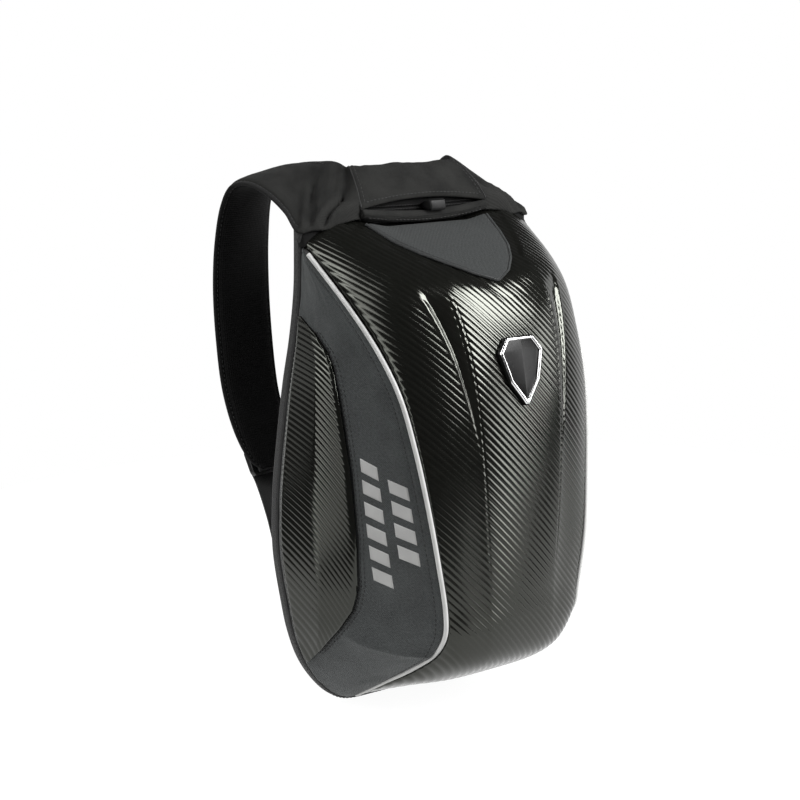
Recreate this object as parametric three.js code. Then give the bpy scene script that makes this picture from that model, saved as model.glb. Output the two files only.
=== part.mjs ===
// A hard-shell motorcycle backpack: a moulded shell, cloth sides, a padded back, a yoke and two straps.
// Millimetres. +X is to the right of someone facing the shell, +Y points to the wearer, +Z is up.
// The origin is the middle of the face that lies on the wearer's back.
import * as THREE from "three";

// A table whose first row names the columns: each further row becomes an object with those names
const table = (columns, ...rows) => {
  const named = (row) => columns.map((name, i) => [name, row[i]]);
  return rows.map((row) => Object.fromEntries(named(row)));
};

// Driving dimensions
const ORIGIN_HEIGHT = 230; // the origin above the height at which the tables below start
const REAR_DEPTH = 12.6; // how far the shell and the sides start in front of the wearer's back
const BACK_THICKNESS = 12.2; // padded back panel
const SHELL_WALL = 3; // moulded foam with a carbon-look skin
const CLOTH_WALL = 2; // coated nylon over thin foam
const YOKE_WALL = 3; // stretch cloth over foam
const SEAM_MARGIN = 3; // from a seam line to the edge of the wall beside it
const PIPING_RADIUS = 2;
const PIPING_STEPS = 40;
const CLEARANCE = 0.4; // between pieces that lie on each other
const FRONT_FLATNESS = 4; // power of the shell's cross curve near its middle: more is flatter

// Main lines of the body, from the top edge down the front and under to the back.
// rear: back edge of the side. seam: line between side and shell. mid: the shell's middle line.
// corner: roundness of the shell at its seam, from 1 for a straight slope to 2.8 for a full turn.
// Depth is measured forward from the wearer's back, and height up from the table's zero.
const RIBS = table(
  ["rearX", "rearHeight", "seamX", "seamDepth", "seamHeight", "midDepth", "midHeight", "corner"],
  [125, 408, 125.3, 17.5, 406.8, 16, 423.5, 2.2],
  [126, 372, 119.2, 65.6, 365.3, 74, 403.5, 1.5],
  [131, 333, 110.4, 91.4, 332, 115, 380, 1.25],
  [138, 297, 103.2, 111, 296.5, 134, 343, 1.1],
  [144.5, 253, 96.4, 122.7, 253, 146, 290, 1],
  [150, 205, 89.8, 130.3, 208, 151, 230, 1],
  [150.5, 158, 83.2, 136, 160, 152, 175, 1],
  [143, 112, 75.3, 136.5, 115, 151, 122, 1.1],
  [136, 82, 73.8, 134, 96, 148.5, 89, 1.3],
  [125.5, 56, 72.3, 121, 78.3, 138, 65.5, 1.5],
  [110, 34, 73, 91, 57, 107, 45.5, 1.8],
  [95, 20, 75.5, 59, 38.5, 64, 30.5, 2],
  [80, 13, 76, 19.5, 16, 12.8, 13, 2.4],
);
const LAST_RIB = RIBS.length - 1;

// Moulded relief of the shell. Edges are shares of the way from the middle line to the seam.
// The centre panel rises and falls between ribs; a scoop on each side of it narrows to nothing at endRib.
const CENTRE_PANEL = {
  edge: 0.47,
  soft: 0.03,
  rise: 1.6,
  riseFrom: 1.2,
  riseTo: 2.4,
  fallFrom: 6.5,
  fallTo: 9,
};
const SCOOP = {
  topRib: 1.9,
  endRib: 4.8,
  topEdge: 0.7,
  endEdge: 0.5,
  narrowing: 1.3,
  depth: 5,
  easeFrom: 1.5,
  easeTo: 2.5,
};
// Lift of the shell's top edge on both sides of the zip, which leaves a saddle in the middle
const TOP_EDGE = { rise: 6.5, riseFrom: 0.32, riseTo: 0.62, fallFrom: 0.72, fallTo: 0.99, endRib: 0.9 };
const SHELL_COLUMNS = [0, 0.2, 0.33, 0.44, 0.5, 0.57, 0.64, 0.7, 0.77, 0.84, 0.9, 0.95, 1];
const SHELL_ROWS = 25;

const SIDE_BULGE = 7; // how far the middle of a side stands out
const SIDE_COLUMNS = 7;
const SIDE_ROWS = 25;

// The moulded inset on each side: share of the side's depth that it reaches, by rib
const INSET_REACH = table(
  ["rib", "reach"],
  [1.5, 0.05],
  [1.8, 0.3],
  [2.15, 0.425],
  [2.5, 0.47],
  [3, 0.485],
  [4.5, 0.53],
  [5.6, 0.535],
  [6.5, 0.5],
  [6.95, 0.45],
  [7.65, 0.342],
  [8.45, 0.183],
  [8.95, 0.05],
);
// Its plateau rises over ramps, which are shares of its height, or of its depth for the rear ramp and bevel
const INSET = {
  rearGap: 0.012,
  gap: 0.6,
  rise: 4,
  thickness: 1.4,
  topRamp: 0.25,
  lowRamp: 0.2,
  rearRamp: 0.2,
  bevel: 0.38,
  rows: 18,
  columns: 6,
};

// The cloth inset on top of the shell: half width by distance down the middle line
const TOP_INSET = table(
  ["rib", "half"],
  [0.16, 69],
  [0.6, 61],
  [1.0, 50],
  [1.4, 36],
  [1.75, 20],
  [1.95, 5],
);
const TOP_INSET_LAYER = { gap: 2 * CLEARANCE, thickness: 1.5, rows: 12, columns: 8 };

// Binding round the back edge: outward and forward limits of its section, and the corner's cut
const BINDING = { inner: -3.6, outer: 1.4, rear: 2.6, front: 12.2, corner: 1.5, topHeight: 418, steps: 48 };
const BOTTOM_EDGE = { half: 45, dip: 2 }; // the straight middle of the body's lower back edge
const BACK_INSET = 4.6; // the back panel's edge inside the body's edge
const BACK_STEPS = 56;
const BACK_SHOULDER = 6; // how far below the panel's upper corner its side edge ends
// Upper edge of the back panel, under the yoke
const BACK_TOP = table(
  ["x", "height"],
  [121, 402],
  [113, 417],
  [98, 427],
  [76, 436],
  [45, 444],
  [0, 447],
);
const BACK_RINGS = table(
  ["depth", "inset"],
  [0, 9],
  [1.2, 4],
  [4.5, 0],
  [9.5, 0],
  [BACK_THICKNESS, 3],
);

// Yoke panel between the strap roots, from its front edge over the top to its hem on the back panel
const YOKE_ROWS = table(
  ["half", "depth", "height", "archDepth", "archHeight"],
  [70, 23.5, 437.5, -2.5, 6.5],
  [66.5, 13, 452.5, 0, 2.5],
  [62, 0.5, 465, 0, 1],
  [59, -8, 470.5, 0, 0],
  [58, -13.2, 467, 0, 0],
  [58, -12.4, 456, 0, 0],
  [58.5, -7.6, 444, 0, 0],
  [60, -3.8, 434, 0, 0],
);
const YOKE_COLUMNS = 8;
const YOKE_STEPS = 12;

// Shoulder strap, from the yoke seam over the shoulder to its lower end.
// arm: edge on the arm's side. neck: edge on the neck's side. drop: how much lower the right strap lies.
const STRAP = table(
  ["armX", "armDepth", "armHeight", "neckX", "neckDepth", "neckHeight", "thick", "armDrop", "neckDrop"],
  [71.1, 22.5, 437.2, 59.6, -12, 469, 5, 0, 0],
  [88, 20.5, 432.5, 60, -20, 472, 6, -2, -1],
  [108, 18, 426.5, 61, -28, 473, 7, -2, 3],
  [128.5, 13, 420.5, 62, -38, 472.5, 8, 1, 10],
  [131.5, -2, 436, 63.5, -52, 471.5, 9, 10, 17],
  [133.5, -25, 449.5, 65.5, -68, 469, 10, 17, 22],
  [136, -52, 456.5, 67.5, -84, 463.5, 10, 22, 23],
  [137.5, -70, 452.5, 69, -96, 453, 10, 21, 20],
  [138, -82, 437, 70.5, -103, 437, 10, 16, 16],
  [138, -92, 405, 71, -107, 405, 10, 8, 8],
  [138, -96, 365, 71, -107.5, 365, 10, 2, 2],
  [138, -93, 320, 71, -104, 320, 10, 0, 0],
  [138, -84, 275, 71.5, -96, 275, 10, 0, 0],
  [136, -69, 240, 73.5, -82, 241, 9.5, 0, 0],
  [129, -59.5, 219, 80, -71, 219, 8.5, 0, 0],
  [118, -56, 209, 92, -62, 209, 7, 0, 0],
);
const STRAP_SIDES = 10;
const STRAP_STEPS = 30;
const STRAP_SQUARENESS = 0.55; // power of the padded section: 1 is an ellipse, less is boxier

// Ladder buckle on the strap's outer face, and the webbing that runs from its bar to the back panel
const BUCKLE = {
  width: 47,
  height: 25,
  thick: 5,
  slotWidth: 40.6,
  slotHeight: 6,
  bar: 3.4,
  corner: 5,
  bevel: 0.8,
};
const BUCKLE_PLACE = { x: -98, depth: -77, height: 212.5, lean: 25, yaw: 13 };
// untwistFrom and untwistTo: shares of its way over which it turns flat to the back panel
const WEBBING = {
  width: 38,
  thick: 1.8,
  turnRadius: 5,
  tail: 10,
  under: 16,
  untwistFrom: 0.62,
  untwistTo: 0.85,
  steps: 44,
};
const WEBBING_TURN = [-90, -55, -20, 20, 55, 90]; // degrees round the buckle's bar
// Middle line of the webbing below the buckle, down to where it is sewn on the back panel
const WEBBING_RUN = table(
  ["x", "depth", "height"],
  [-109.5, -39, 171],
  [-112, -24, 149],
  [-114, -10, 134],
  [-115.5, -2.4, 121],
  [-116, -1.5, 106],
  [-116, -1.5, 92],
);

// Zip below the yoke's front edge: rolled flap, tape behind it and the pull
const ZIP_FLAP = { half: 69.3, depth: 21.5, midHeight: 426.4, endHeight: 431.2, radius: 3.7, forward: 4.4 };
const ZIP_TAPE = {
  half: 60,
  lowDepth: 16.6,
  lowHeight: 425,
  lowRise: 5,
  highDepth: 14.4,
  highHeight: 446,
  thick: 1.2,
};
const ZIP_PULL = { x: 9, width: 17, bevel: 1.2 };
// Side view of the pull: a slider on the tape and a tab that lies over the flap
const ZIP_PULL_PROFILE = table(
  ["depth", "height"],
  [16.6, 433.6],
  [21.5, 432.6],
  [28.5, 431.8],
  [29.6, 434],
  [28.3, 440.2],
  [25.5, 441.6],
  [19, 439.3],
  [16, 438],
);

// Plain badge on the middle of the shell: half width by rib, from its top edge to its lower point
const BADGE_OUTLINE = table(
  ["rib", "half"],
  [3.12, 15],
  [3.34, 24],
  [3.8, 16],
  [4.14, 1.5],
);
const BADGE_LAYER = { gap: CLEARANCE, thickness: 3, rows: 10, columns: 4 };
// width and inset are shares of the outline; sideSteps: points on each straight side
const BADGE_FRAME = { middleRib: 3.52, width: 0.13, thickness: 1.6, inset: 0.97, sideSteps: 3 };

const at = (x, depth, height) => new THREE.Vector3(x, -depth, height - ORIGIN_HEIGHT);
const smooth = (low, high, value) => THREE.MathUtils.smoothstep(value, low, high);
const line = (points) => new THREE.CatmullRomCurve3(points, false, "centripetal");

// Value of a table's column at a place between its rows
function lookUp(table, key, value, place) {
  const last = table.length - 1;
  const next = Math.max(1, Math.min(last, table.findIndex((row) => row[key] >= place)));
  const [low, high] = [table[next - 1], table[next < 0 ? last : next]];
  const share = THREE.MathUtils.clamp((place - low[key]) / (high[key] - low[key]), 0, 1);
  return THREE.MathUtils.lerp(low[value], high[value], share);
}

// Geometry helpers

function solid(points, triangles) {
  const geometry = new THREE.BufferGeometry();
  geometry.setFromPoints(points);
  geometry.setIndex(triangles);
  geometry.computeVertexNormals();
  return geometry;
}

function mirrored(geometry) {
  const twin = geometry.clone().scale(-1, 1, 1);
  const order = twin.index ? twin.index.array : null;
  if (order) {
    for (let i = 0; i < order.length; i += 3) {
      [order[i + 1], order[i + 2]] = [order[i + 2], order[i + 1]];
    }
    twin.computeVertexNormals();
    return twin;
  }
  const flipped = new THREE.BufferGeometry();
  const place = twin.getAttribute("position");
  const corners = [];
  for (let i = 0; i < place.count; i += 3) {
    for (const k of [0, 2, 1]) corners.push(new THREE.Vector3().fromBufferAttribute(place, i + k));
  }
  flipped.setFromPoints(corners);
  flipped.computeVertexNormals();
  return flipped;
}

// A wall from two grids of points with the same rows and columns, its outer face first.
// Seen from outside, columns run to the right and rows run down.
function wallBetween(outer, inner) {
  const rows = outer.length;
  const columns = outer[0].length;
  const points = [...outer.flat(), ...inner.flat()];
  const half = rows * columns;
  const triangles = [];
  const quad = (a, b, c, d) => triangles.push(a, b, c, a, c, d);
  const index = (face, row, column) => face * half + row * columns + column;
  for (let r = 0; r + 1 < rows; r++) {
    for (let c = 0; c + 1 < columns; c++) {
      quad(index(0, r, c), index(0, r + 1, c), index(0, r + 1, c + 1), index(0, r, c + 1));
      quad(index(1, r, c), index(1, r, c + 1), index(1, r + 1, c + 1), index(1, r + 1, c));
    }
    quad(index(0, r, 0), index(1, r, 0), index(1, r + 1, 0), index(0, r + 1, 0));
    const end = columns - 1;
    quad(index(0, r, end), index(0, r + 1, end), index(1, r + 1, end), index(1, r, end));
  }
  for (let c = 0; c + 1 < columns; c++) {
    quad(index(0, 0, c), index(0, 0, c + 1), index(1, 0, c + 1), index(1, 0, c));
    quad(index(0, rows - 1, c), index(1, rows - 1, c), index(1, rows - 1, c + 1), index(0, rows - 1, c + 1));
  }
  return solid(points, triangles);
}

const grid = (rows, columns, make) =>
  Array.from({ length: rows }, (_, r) => Array.from({ length: columns }, (__, c) => make(r, c)));

// A closed body through rings of points; each end is closed by a fan round its middle.
// Seen from the first ring towards the last, each ring runs clockwise.
function loft(rings) {
  const sides = rings[0].length;
  const points = rings.flat();
  const triangles = [];
  for (let r = 0; r + 1 < rings.length; r++) {
    for (let k = 0; k < sides; k++) {
      const next = (k + 1) % sides;
      const [a, b, c, d] = [r * sides + k, r * sides + next, (r + 1) * sides + next, (r + 1) * sides + k];
      triangles.push(a, b, c, a, c, d);
    }
  }
  const lastStart = (rings.length - 1) * sides;
  for (const [ring, first, turn] of [[rings[0], 0, true], [rings.at(-1), lastStart, false]]) {
    const middle = ring.reduce((sum, p) => sum.add(p), new THREE.Vector3()).divideScalar(sides);
    points.push(middle);
    for (let k = 0; k < sides; k++) {
      const next = (k + 1) % sides;
      const [a, b] = turn ? [first + next, first + k] : [first + k, first + next];
      triangles.push(points.length - 1, a, b);
    }
  }
  return solid(points, triangles);
}

// Surfaces of the body

const seamLine = line(RIBS.map((r) => at(-r.seamX, r.seamDepth, r.seamHeight)));
const rearLine = line(RIBS.map((r) => at(-r.rearX, REAR_DEPTH, r.rearHeight)));
const midLine = line(RIBS.map((r) => at(0, r.midDepth, r.midHeight)));
const cornerLine = line(RIBS.map((r, i) => new THREE.Vector3(i, r.corner, 0)));

// Smooth form of the shell.
// down: 0 at the top edge, 1 at the bottom edge. across: -1 at the left seam, 1 at the right seam.
function shellForm(down, across) {
  const seam = seamLine.getPoint(down);
  const mid = midLine.getPoint(down);
  const share = Math.abs(across);
  const back = 1 - (1 - share ** FRONT_FLATNESS) ** (1 / cornerLine.getPoint(down).y);
  const { rise, riseFrom, riseTo, fallFrom, fallTo, endRib } = TOP_EDGE;
  const saddle = smooth(riseFrom, riseTo, share) * (1 - smooth(fallFrom, fallTo, share));
  const lift = rise * saddle * (1 - smooth(0, endRib, down * LAST_RIB));
  const depth = THREE.MathUtils.lerp(mid.y, seam.y, back);
  return new THREE.Vector3(-seam.x * across, depth, THREE.MathUtils.lerp(mid.z, seam.z, back) + lift);
}

// Outward normal of a surface whose first value runs down and whose second runs to the right
function normalOf(surface, down, right, step = 0.004) {
  const high = Math.min(down + step, 1);
  const low = Math.max(down - step, 0);
  const far = Math.min(right + step, 0.999);
  const near = Math.max(right - step, -0.999);
  const along = surface(high, right).sub(surface(low, right));
  const over = surface(down, far).sub(surface(down, near));
  return along.cross(over).normalize();
}

// Height of the moulded relief above the shell's smooth form
function relief(down, across) {
  const share = Math.abs(across);
  const rib = down * LAST_RIB;
  const { edge, soft, rise, riseFrom, riseTo, fallFrom, fallTo } = CENTRE_PANEL;
  const fade = smooth(riseFrom, riseTo, rib) * (1 - smooth(fallFrom, fallTo, rib));
  const panel = 1 - smooth(edge - soft, edge + soft, share);
  const along = THREE.MathUtils.clamp((rib - SCOOP.topRib) / (SCOOP.endRib - SCOOP.topRib), 0, 1);
  const outside = THREE.MathUtils.lerp(SCOOP.topEdge, SCOOP.endEdge, along ** SCOOP.narrowing);
  const inScoop = THREE.MathUtils.clamp((share - edge) / Math.max(outside - edge, 0.01), 0, 1);
  const begun = smooth(SCOOP.easeFrom, SCOOP.easeTo, rib);
  const scoop = Math.sin(Math.PI * inScoop) * (1 - along) * begun;
  return rise * panel * fade - SCOOP.depth * scoop;
}

function shellSkin(down, across, lift = 0) {
  const normal = normalOf(shellForm, down, across);
  return shellForm(down, across).addScaledVector(normal, relief(down, across) + lift);
}

// Share at which a surface stops, one margin before the left seam that it reaches at the share given as end
function seamStop(surface, down, end) {
  const edge = surface(down, end);
  const along = seamLine.getTangent(down);
  let [low, high] = [0, 1];
  for (let i = 0; i < 24; i++) {
    const middle = (low + high) / 2;
    const away = surface(down, middle * end).sub(edge);
    if (away.addScaledVector(along, -away.dot(along)).length() > SEAM_MARGIN) low = middle;
    else high = middle;
  }
  return low;
}

// Left side, bulging between the back edge (0) and the seam (1)
function sideForm(down, forward) {
  const rear = rearLine.getPoint(down);
  const seam = seamLine.getPoint(down);
  return rear.lerp(seam, forward);
}

function sideSkin(down, forward, lift = 0) {
  const normal = normalOf(sideForm, down, forward);
  const ends = Math.sqrt(Math.sin(Math.PI * THREE.MathUtils.clamp(down, 0, 1)));
  const bulge = SIDE_BULGE * Math.sin(Math.PI * forward) * ends;
  return sideForm(down, forward).addScaledVector(normal, bulge + lift);
}

// Pieces of the body

const inFront = (point) => point.setY(Math.min(point.y, -REAR_DEPTH));

function shellPiece() {
  const shares = [...SHELL_COLUMNS.slice(1).map((v) => -v).reverse(), ...SHELL_COLUMNS];
  const place = (r, c) => {
    const down = r / SHELL_ROWS;
    const stop = seamStop(shellForm, down, -1);
    return [down, THREE.MathUtils.clamp(shares[c], -stop, stop)];
  };
  const inside = (r, c) => inFront(shellSkin(...place(r, c), -SHELL_WALL));
  const outer = grid(SHELL_ROWS + 1, shares.length, (r, c) => shellSkin(...place(r, c)));
  const inner = grid(SHELL_ROWS + 1, shares.length, inside);
  return wallBetween(outer, inner);
}

function sidePiece() {
  const place = (r, c) => {
    const down = r / SIDE_ROWS;
    return [down, (c / SIDE_COLUMNS) * seamStop(sideForm, down, 1)];
  };
  const inside = (r, c) => inFront(sideSkin(...place(r, c), -CLOTH_WALL));
  const outer = grid(SIDE_ROWS + 1, SIDE_COLUMNS + 1, (r, c) => sideSkin(...place(r, c)));
  const inner = grid(SIDE_ROWS + 1, SIDE_COLUMNS + 1, inside);
  return wallBetween(outer, inner);
}

function sideInset() {
  const [first, last] = [INSET_REACH[0].rib, INSET_REACH.at(-1).rib];
  const place = (r, c) => {
    const rib = THREE.MathUtils.lerp(first, last, r / INSET.rows);
    const reach = lookUp(INSET_REACH, "rib", "reach", rib);
    return [rib / LAST_RIB, THREE.MathUtils.lerp(INSET.rearGap, reach, c / INSET.columns)];
  };
  const rise = (r, c) => {
    const share = c / INSET.columns;
    const down = r / INSET.rows;
    const ends = smooth(0, INSET.topRamp, down) * (1 - smooth(1 - INSET.lowRamp, 1, down));
    const plateau = smooth(0, INSET.rearRamp, share) * (1 - smooth(1 - INSET.bevel, 1, share));
    return INSET.thickness + INSET.rise * ends * plateau;
  };
  const skin = (lift) => (r, c) => sideSkin(...place(r, c), lift(r, c));
  const layer = (lift) => grid(INSET.rows + 1, INSET.columns + 1, skin(lift));
  return wallBetween(layer((r, c) => INSET.gap + rise(r, c)), layer(() => INSET.gap));
}

function pipingPiece() {
  const section = new THREE.Shape().absellipse(0, 0, PIPING_RADIUS, PIPING_RADIUS, 0, 2 * Math.PI);
  const route = { extrudePath: seamLine, steps: PIPING_STEPS, bevelEnabled: false };
  return new THREE.ExtrudeGeometry(section, { curveSegments: 3, ...route });
}

// A layer on the shell, symmetric about its middle line: half width by rib, from the top down
function shellLayer(outline, { gap, thickness, rows, columns }) {
  const [first, last] = [outline[0].rib, outline.at(-1).rib];
  const place = (r, c) => {
    const rib = THREE.MathUtils.lerp(first, last, r / rows);
    const half = lookUp(outline, "rib", "half", rib);
    return [rib / LAST_RIB, ((2 * c) / columns - 1) * (half / -seamLine.getPoint(rib / LAST_RIB).x)];
  };
  const outer = grid(rows + 1, columns + 1, (r, c) => shellSkin(...place(r, c), gap + thickness));
  const inner = grid(rows + 1, columns + 1, (r, c) => shellSkin(...place(r, c), gap));
  return wallBetween(outer, inner);
}

// Left half of the back edge from the top down, then the right half up again
function backEdge(topHeight) {
  const left = [at(-RIBS[0].rearX, 0, topHeight), ...RIBS.map((r) => at(-r.rearX, 0, r.rearHeight))];
  const low = at(0, 0, RIBS[LAST_RIB].rearHeight - BOTTOM_EDGE.dip);
  const lowEnd = (side) => low.clone().setX(side * BOTTOM_EDGE.half);
  const right = left.map((p) => p.clone().setX(-p.x)).reverse();
  return line([...left, lowEnd(-1), low, lowEnd(1), ...right]);
}

function outwardAt(curve, share) {
  const along = curve.getTangentAt(share);
  return new THREE.Vector3(along.z, 0, -along.x).normalize();
}

function bindingPiece() {
  const { inner, outer, rear, front, corner } = BINDING;
  const section = [
    [inner, rear + corner], [inner, front - corner], [inner + corner, front], [outer - corner, front],
    [outer, front - corner], [outer, rear + corner], [outer - corner, rear], [inner + corner, rear],
  ];
  const edge = backEdge(BINDING.topHeight);
  const rings = Array.from({ length: BINDING.steps + 1 }, (_, i) => {
    const share = i / BINDING.steps;
    const outward = outwardAt(edge, share);
    return section.map(([out, depth]) =>
      edge.getPointAt(share).addScaledVector(outward, out).add(new THREE.Vector3(0, -depth, 0)));
  });
  return loft(rings);
}

// Padded panel that lies on the wearer's back, flat on that face and rounded at its edge
function backPanel() {
  const edge = backEdge(RIBS[0].rearHeight);
  const outline = Array.from({ length: BACK_STEPS + 1 }, (_, i) => {
    const share = i / BACK_STEPS;
    return edge.getPointAt(share).addScaledVector(outwardAt(edge, share), -BACK_INSET);
  }).filter((p) => p.z < BACK_TOP[0].height - ORIGIN_HEIGHT - BACK_SHOULDER);
  const rightTop = BACK_TOP.map((p) => at(p.x, 0, p.height));
  const leftTop = BACK_TOP.slice(0, -1).map((p) => at(-p.x, 0, p.height)).reverse();
  const ring = [...outline, ...rightTop, ...leftTop];
  const count = ring.length;
  const inward = ring.map((_, k) => {
    const along = ring[(k + 1) % count].clone().sub(ring[(k + count - 1) % count]);
    return new THREE.Vector3(-along.z, 0, along.x).normalize();
  });
  const rings = BACK_RINGS.map(({ depth, inset }) =>
    ring.map((p, k) => p.clone().addScaledVector(inward[k], inset).setY(-depth)));
  return loft(rings);
}

// Yoke and straps

function yokePanel() {
  const rowsLine = (key) => line(YOKE_ROWS.map((row, i) => new THREE.Vector3(i, row[key], 0)));
  const curves = Object.fromEntries(Object.keys(YOKE_ROWS[0]).map((key) => [key, rowsLine(key)]));
  const form = (down, right) => {
    const value = (key) => curves[key].getPoint(1 - down).y;
    const arch = 1 - right * right;
    const depth = value("depth") + value("archDepth") * arch;
    return at(value("half") * right, depth, value("height") + value("archHeight") * arch);
  };
  const place = (r, c) => [r / YOKE_STEPS, (2 * c) / YOKE_COLUMNS - 1];
  const outer = grid(YOKE_STEPS + 1, YOKE_COLUMNS + 1, (r, c) => form(...place(r, c)));
  const inner = grid(YOKE_STEPS + 1, YOKE_COLUMNS + 1, (r, c) => {
    const [down, right] = place(r, c);
    return form(down, right).addScaledVector(normalOf(form, down, right), -YOKE_WALL);
  });
  return wallBetween(outer, inner);
}

const strapThickness = line(STRAP.map((s, i) => new THREE.Vector3(i, s.thick, 0)));

// One strap, drawn on the left; lower is 1 for the strap that hangs lower
function strapPiece(lower) {
  const armEdge = line(STRAP.map((s) => at(-s.armX, s.armDepth, s.armHeight - lower * s.armDrop)));
  const neckEdge = line(STRAP.map((s) => at(-s.neckX, s.neckDepth, s.neckHeight - lower * s.neckDrop)));
  const middleAt = (share) => armEdge.getPoint(share).lerp(neckEdge.getPoint(share), 0.5);
  const power = (v) => Math.sign(v) * Math.abs(v) ** STRAP_SQUARENESS;
  const step = 0.004;
  const rings = Array.from({ length: STRAP_STEPS + 1 }, (_, i) => {
    const share = i / STRAP_STEPS;
    const along = middleAt(Math.min(share + step, 1)).sub(middleAt(Math.max(share - step, 0)));
    const halfWidth = neckEdge.getPoint(share).sub(armEdge.getPoint(share)).multiplyScalar(0.5);
    const outward = halfWidth.clone().cross(along).normalize();
    const halfThick = strapThickness.getPoint(share).y / 2;
    return Array.from({ length: STRAP_SIDES }, (__, k) => {
      const angle = (-2 * Math.PI * (k + 0.5)) / STRAP_SIDES;
      return middleAt(share)
        .addScaledVector(halfWidth, power(Math.cos(angle)))
        .addScaledVector(outward, halfThick * power(Math.sin(angle)));
    });
  });
  return loft(rings);
}

function roundedRectangle(path, width, height, radius) {
  const [x, y] = [width / 2, height / 2];
  path.moveTo(-x + radius, -y);
  path.lineTo(x - radius, -y);
  path.absarc(x - radius, -y + radius, radius, -Math.PI / 2, 0);
  path.lineTo(x, y - radius);
  path.absarc(x - radius, y - radius, radius, 0, Math.PI / 2);
  path.lineTo(-x + radius, y);
  path.absarc(-x + radius, y - radius, radius, Math.PI / 2, Math.PI);
  path.lineTo(-x, -y + radius);
  path.absarc(-x + radius, -y + radius, radius, Math.PI, 1.5 * Math.PI);
  return path;
}

// Places a flat piece, drawn in x and up, on the strap's end, leaning with it
const buckleMatrix = new THREE.Matrix4()
  .makeTranslation(at(BUCKLE_PLACE.x, BUCKLE_PLACE.depth, BUCKLE_PLACE.height))
  .multiply(new THREE.Matrix4().makeRotationZ(THREE.MathUtils.degToRad(180 + BUCKLE_PLACE.yaw)))
  .multiply(new THREE.Matrix4().makeRotationX(THREE.MathUtils.degToRad(90 + BUCKLE_PLACE.lean)));

function bucklePiece() {
  const { width, height, thick, slotWidth, slotHeight, bar, corner, bevel } = BUCKLE;
  const shape = roundedRectangle(new THREE.Shape(), width - 2 * bevel, height - 2 * bevel, corner);
  for (const side of [-1, 1]) {
    const hole = new THREE.Path();
    const middle = (side * (slotHeight + bar)) / 2;
    hole.moveTo(-slotWidth / 2, middle - slotHeight / 2);
    hole.lineTo(-slotWidth / 2, middle + slotHeight / 2);
    hole.lineTo(slotWidth / 2, middle + slotHeight / 2);
    hole.lineTo(slotWidth / 2, middle - slotHeight / 2);
    hole.closePath();
    shape.holes.push(hole);
  }
  const edges = { bevelSize: bevel, bevelThickness: bevel, bevelSegments: 1 };
  const plate = new THREE.ExtrudeGeometry(shape, { depth: thick - 2 * bevel, curveSegments: 3, ...edges });
  return plate.translate(0, 0, bevel - thick / 2).applyMatrix4(buckleMatrix);
}

// Webbing: sewn back on itself round the buckle's middle bar, then down to the back panel
function webbingPiece() {
  const { width, thick, turnRadius, tail, under, untwistFrom, untwistTo, steps } = WEBBING;
  const local = (up, out) => new THREE.Vector3(0, up, out).applyMatrix4(buckleMatrix);
  const turn = WEBBING_TURN.map((degrees) => {
    const angle = THREE.MathUtils.degToRad(degrees);
    return local(turnRadius * Math.cos(angle), turnRadius * Math.sin(angle));
  });
  const run = WEBBING_RUN.map((p) => at(p.x, p.depth, p.height));
  const ends = [local(-tail, -turnRadius), local(-tail / 2, -turnRadius)];
  const below = [local(-under / 2, turnRadius), local(-under, turnRadius - 1)];
  const route = line([...ends, ...turn, ...below, ...run]);
  const rings = Array.from({ length: steps + 1 }, (_, i) => {
    const share = i / steps;
    const yaw = THREE.MathUtils.degToRad(BUCKLE_PLACE.yaw) * (1 - smooth(untwistFrom, untwistTo, share));
    const side = new THREE.Vector3(Math.cos(yaw), Math.sin(yaw), 0);
    const out = side.clone().cross(route.getTangent(share)).normalize();
    return [[-1, -1], [-1, 1], [1, 1], [1, -1]].map(([a, b]) =>
      route.getPoint(share).addScaledVector(side, (a * width) / 2).addScaledVector(out, (b * thick) / 2));
  });
  return loft(rings);
}

// Zip

function zipFlap() {
  const { half, depth, midHeight, endHeight, radius, forward } = ZIP_FLAP;
  const steps = 16;
  const sides = 8;
  const rings = Array.from({ length: steps + 1 }, (_, i) => {
    const share = (2 * i) / steps - 1;
    const height = THREE.MathUtils.lerp(midHeight, endHeight, share * share);
    return Array.from({ length: sides }, (__, k) => {
      const angle = (2 * Math.PI * (k + 0.5)) / sides;
      return at(share * half, depth + forward * Math.cos(angle), height + radius * Math.sin(angle));
    });
  });
  return loft(rings.reverse());
}

function zipTape() {
  const { half, lowDepth, lowHeight, lowRise, highDepth, highHeight, thick } = ZIP_TAPE;
  const steps = 8;
  const face = (offset) => grid(2, steps + 1, (r, c) => {
    const share = (2 * c) / steps - 1;
    const low = lowHeight + lowRise * share * share;
    return at(share * half, (r ? lowDepth : highDepth) - offset, r ? low : highHeight);
  });
  return wallBetween(face(0), face(thick));
}

function zipPull() {
  const { x, width, bevel } = ZIP_PULL;
  const corners = ZIP_PULL_PROFILE.map((p) => new THREE.Vector2(p.depth, p.height - ORIGIN_HEIGHT));
  const profile = new THREE.Shape(corners);
  const edges = { bevelSize: bevel, bevelThickness: bevel, bevelOffset: -bevel, bevelSegments: 1 };
  const pull = new THREE.ExtrudeGeometry(profile, { depth: width - 2 * bevel, ...edges });
  const turn = new THREE.Matrix4().makeBasis(
    new THREE.Vector3(0, -1, 0), new THREE.Vector3(0, 0, 1), new THREE.Vector3(-1, 0, 0));
  return pull.applyMatrix4(turn).translate(x + width / 2 - bevel, 0, 0);
}

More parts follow.
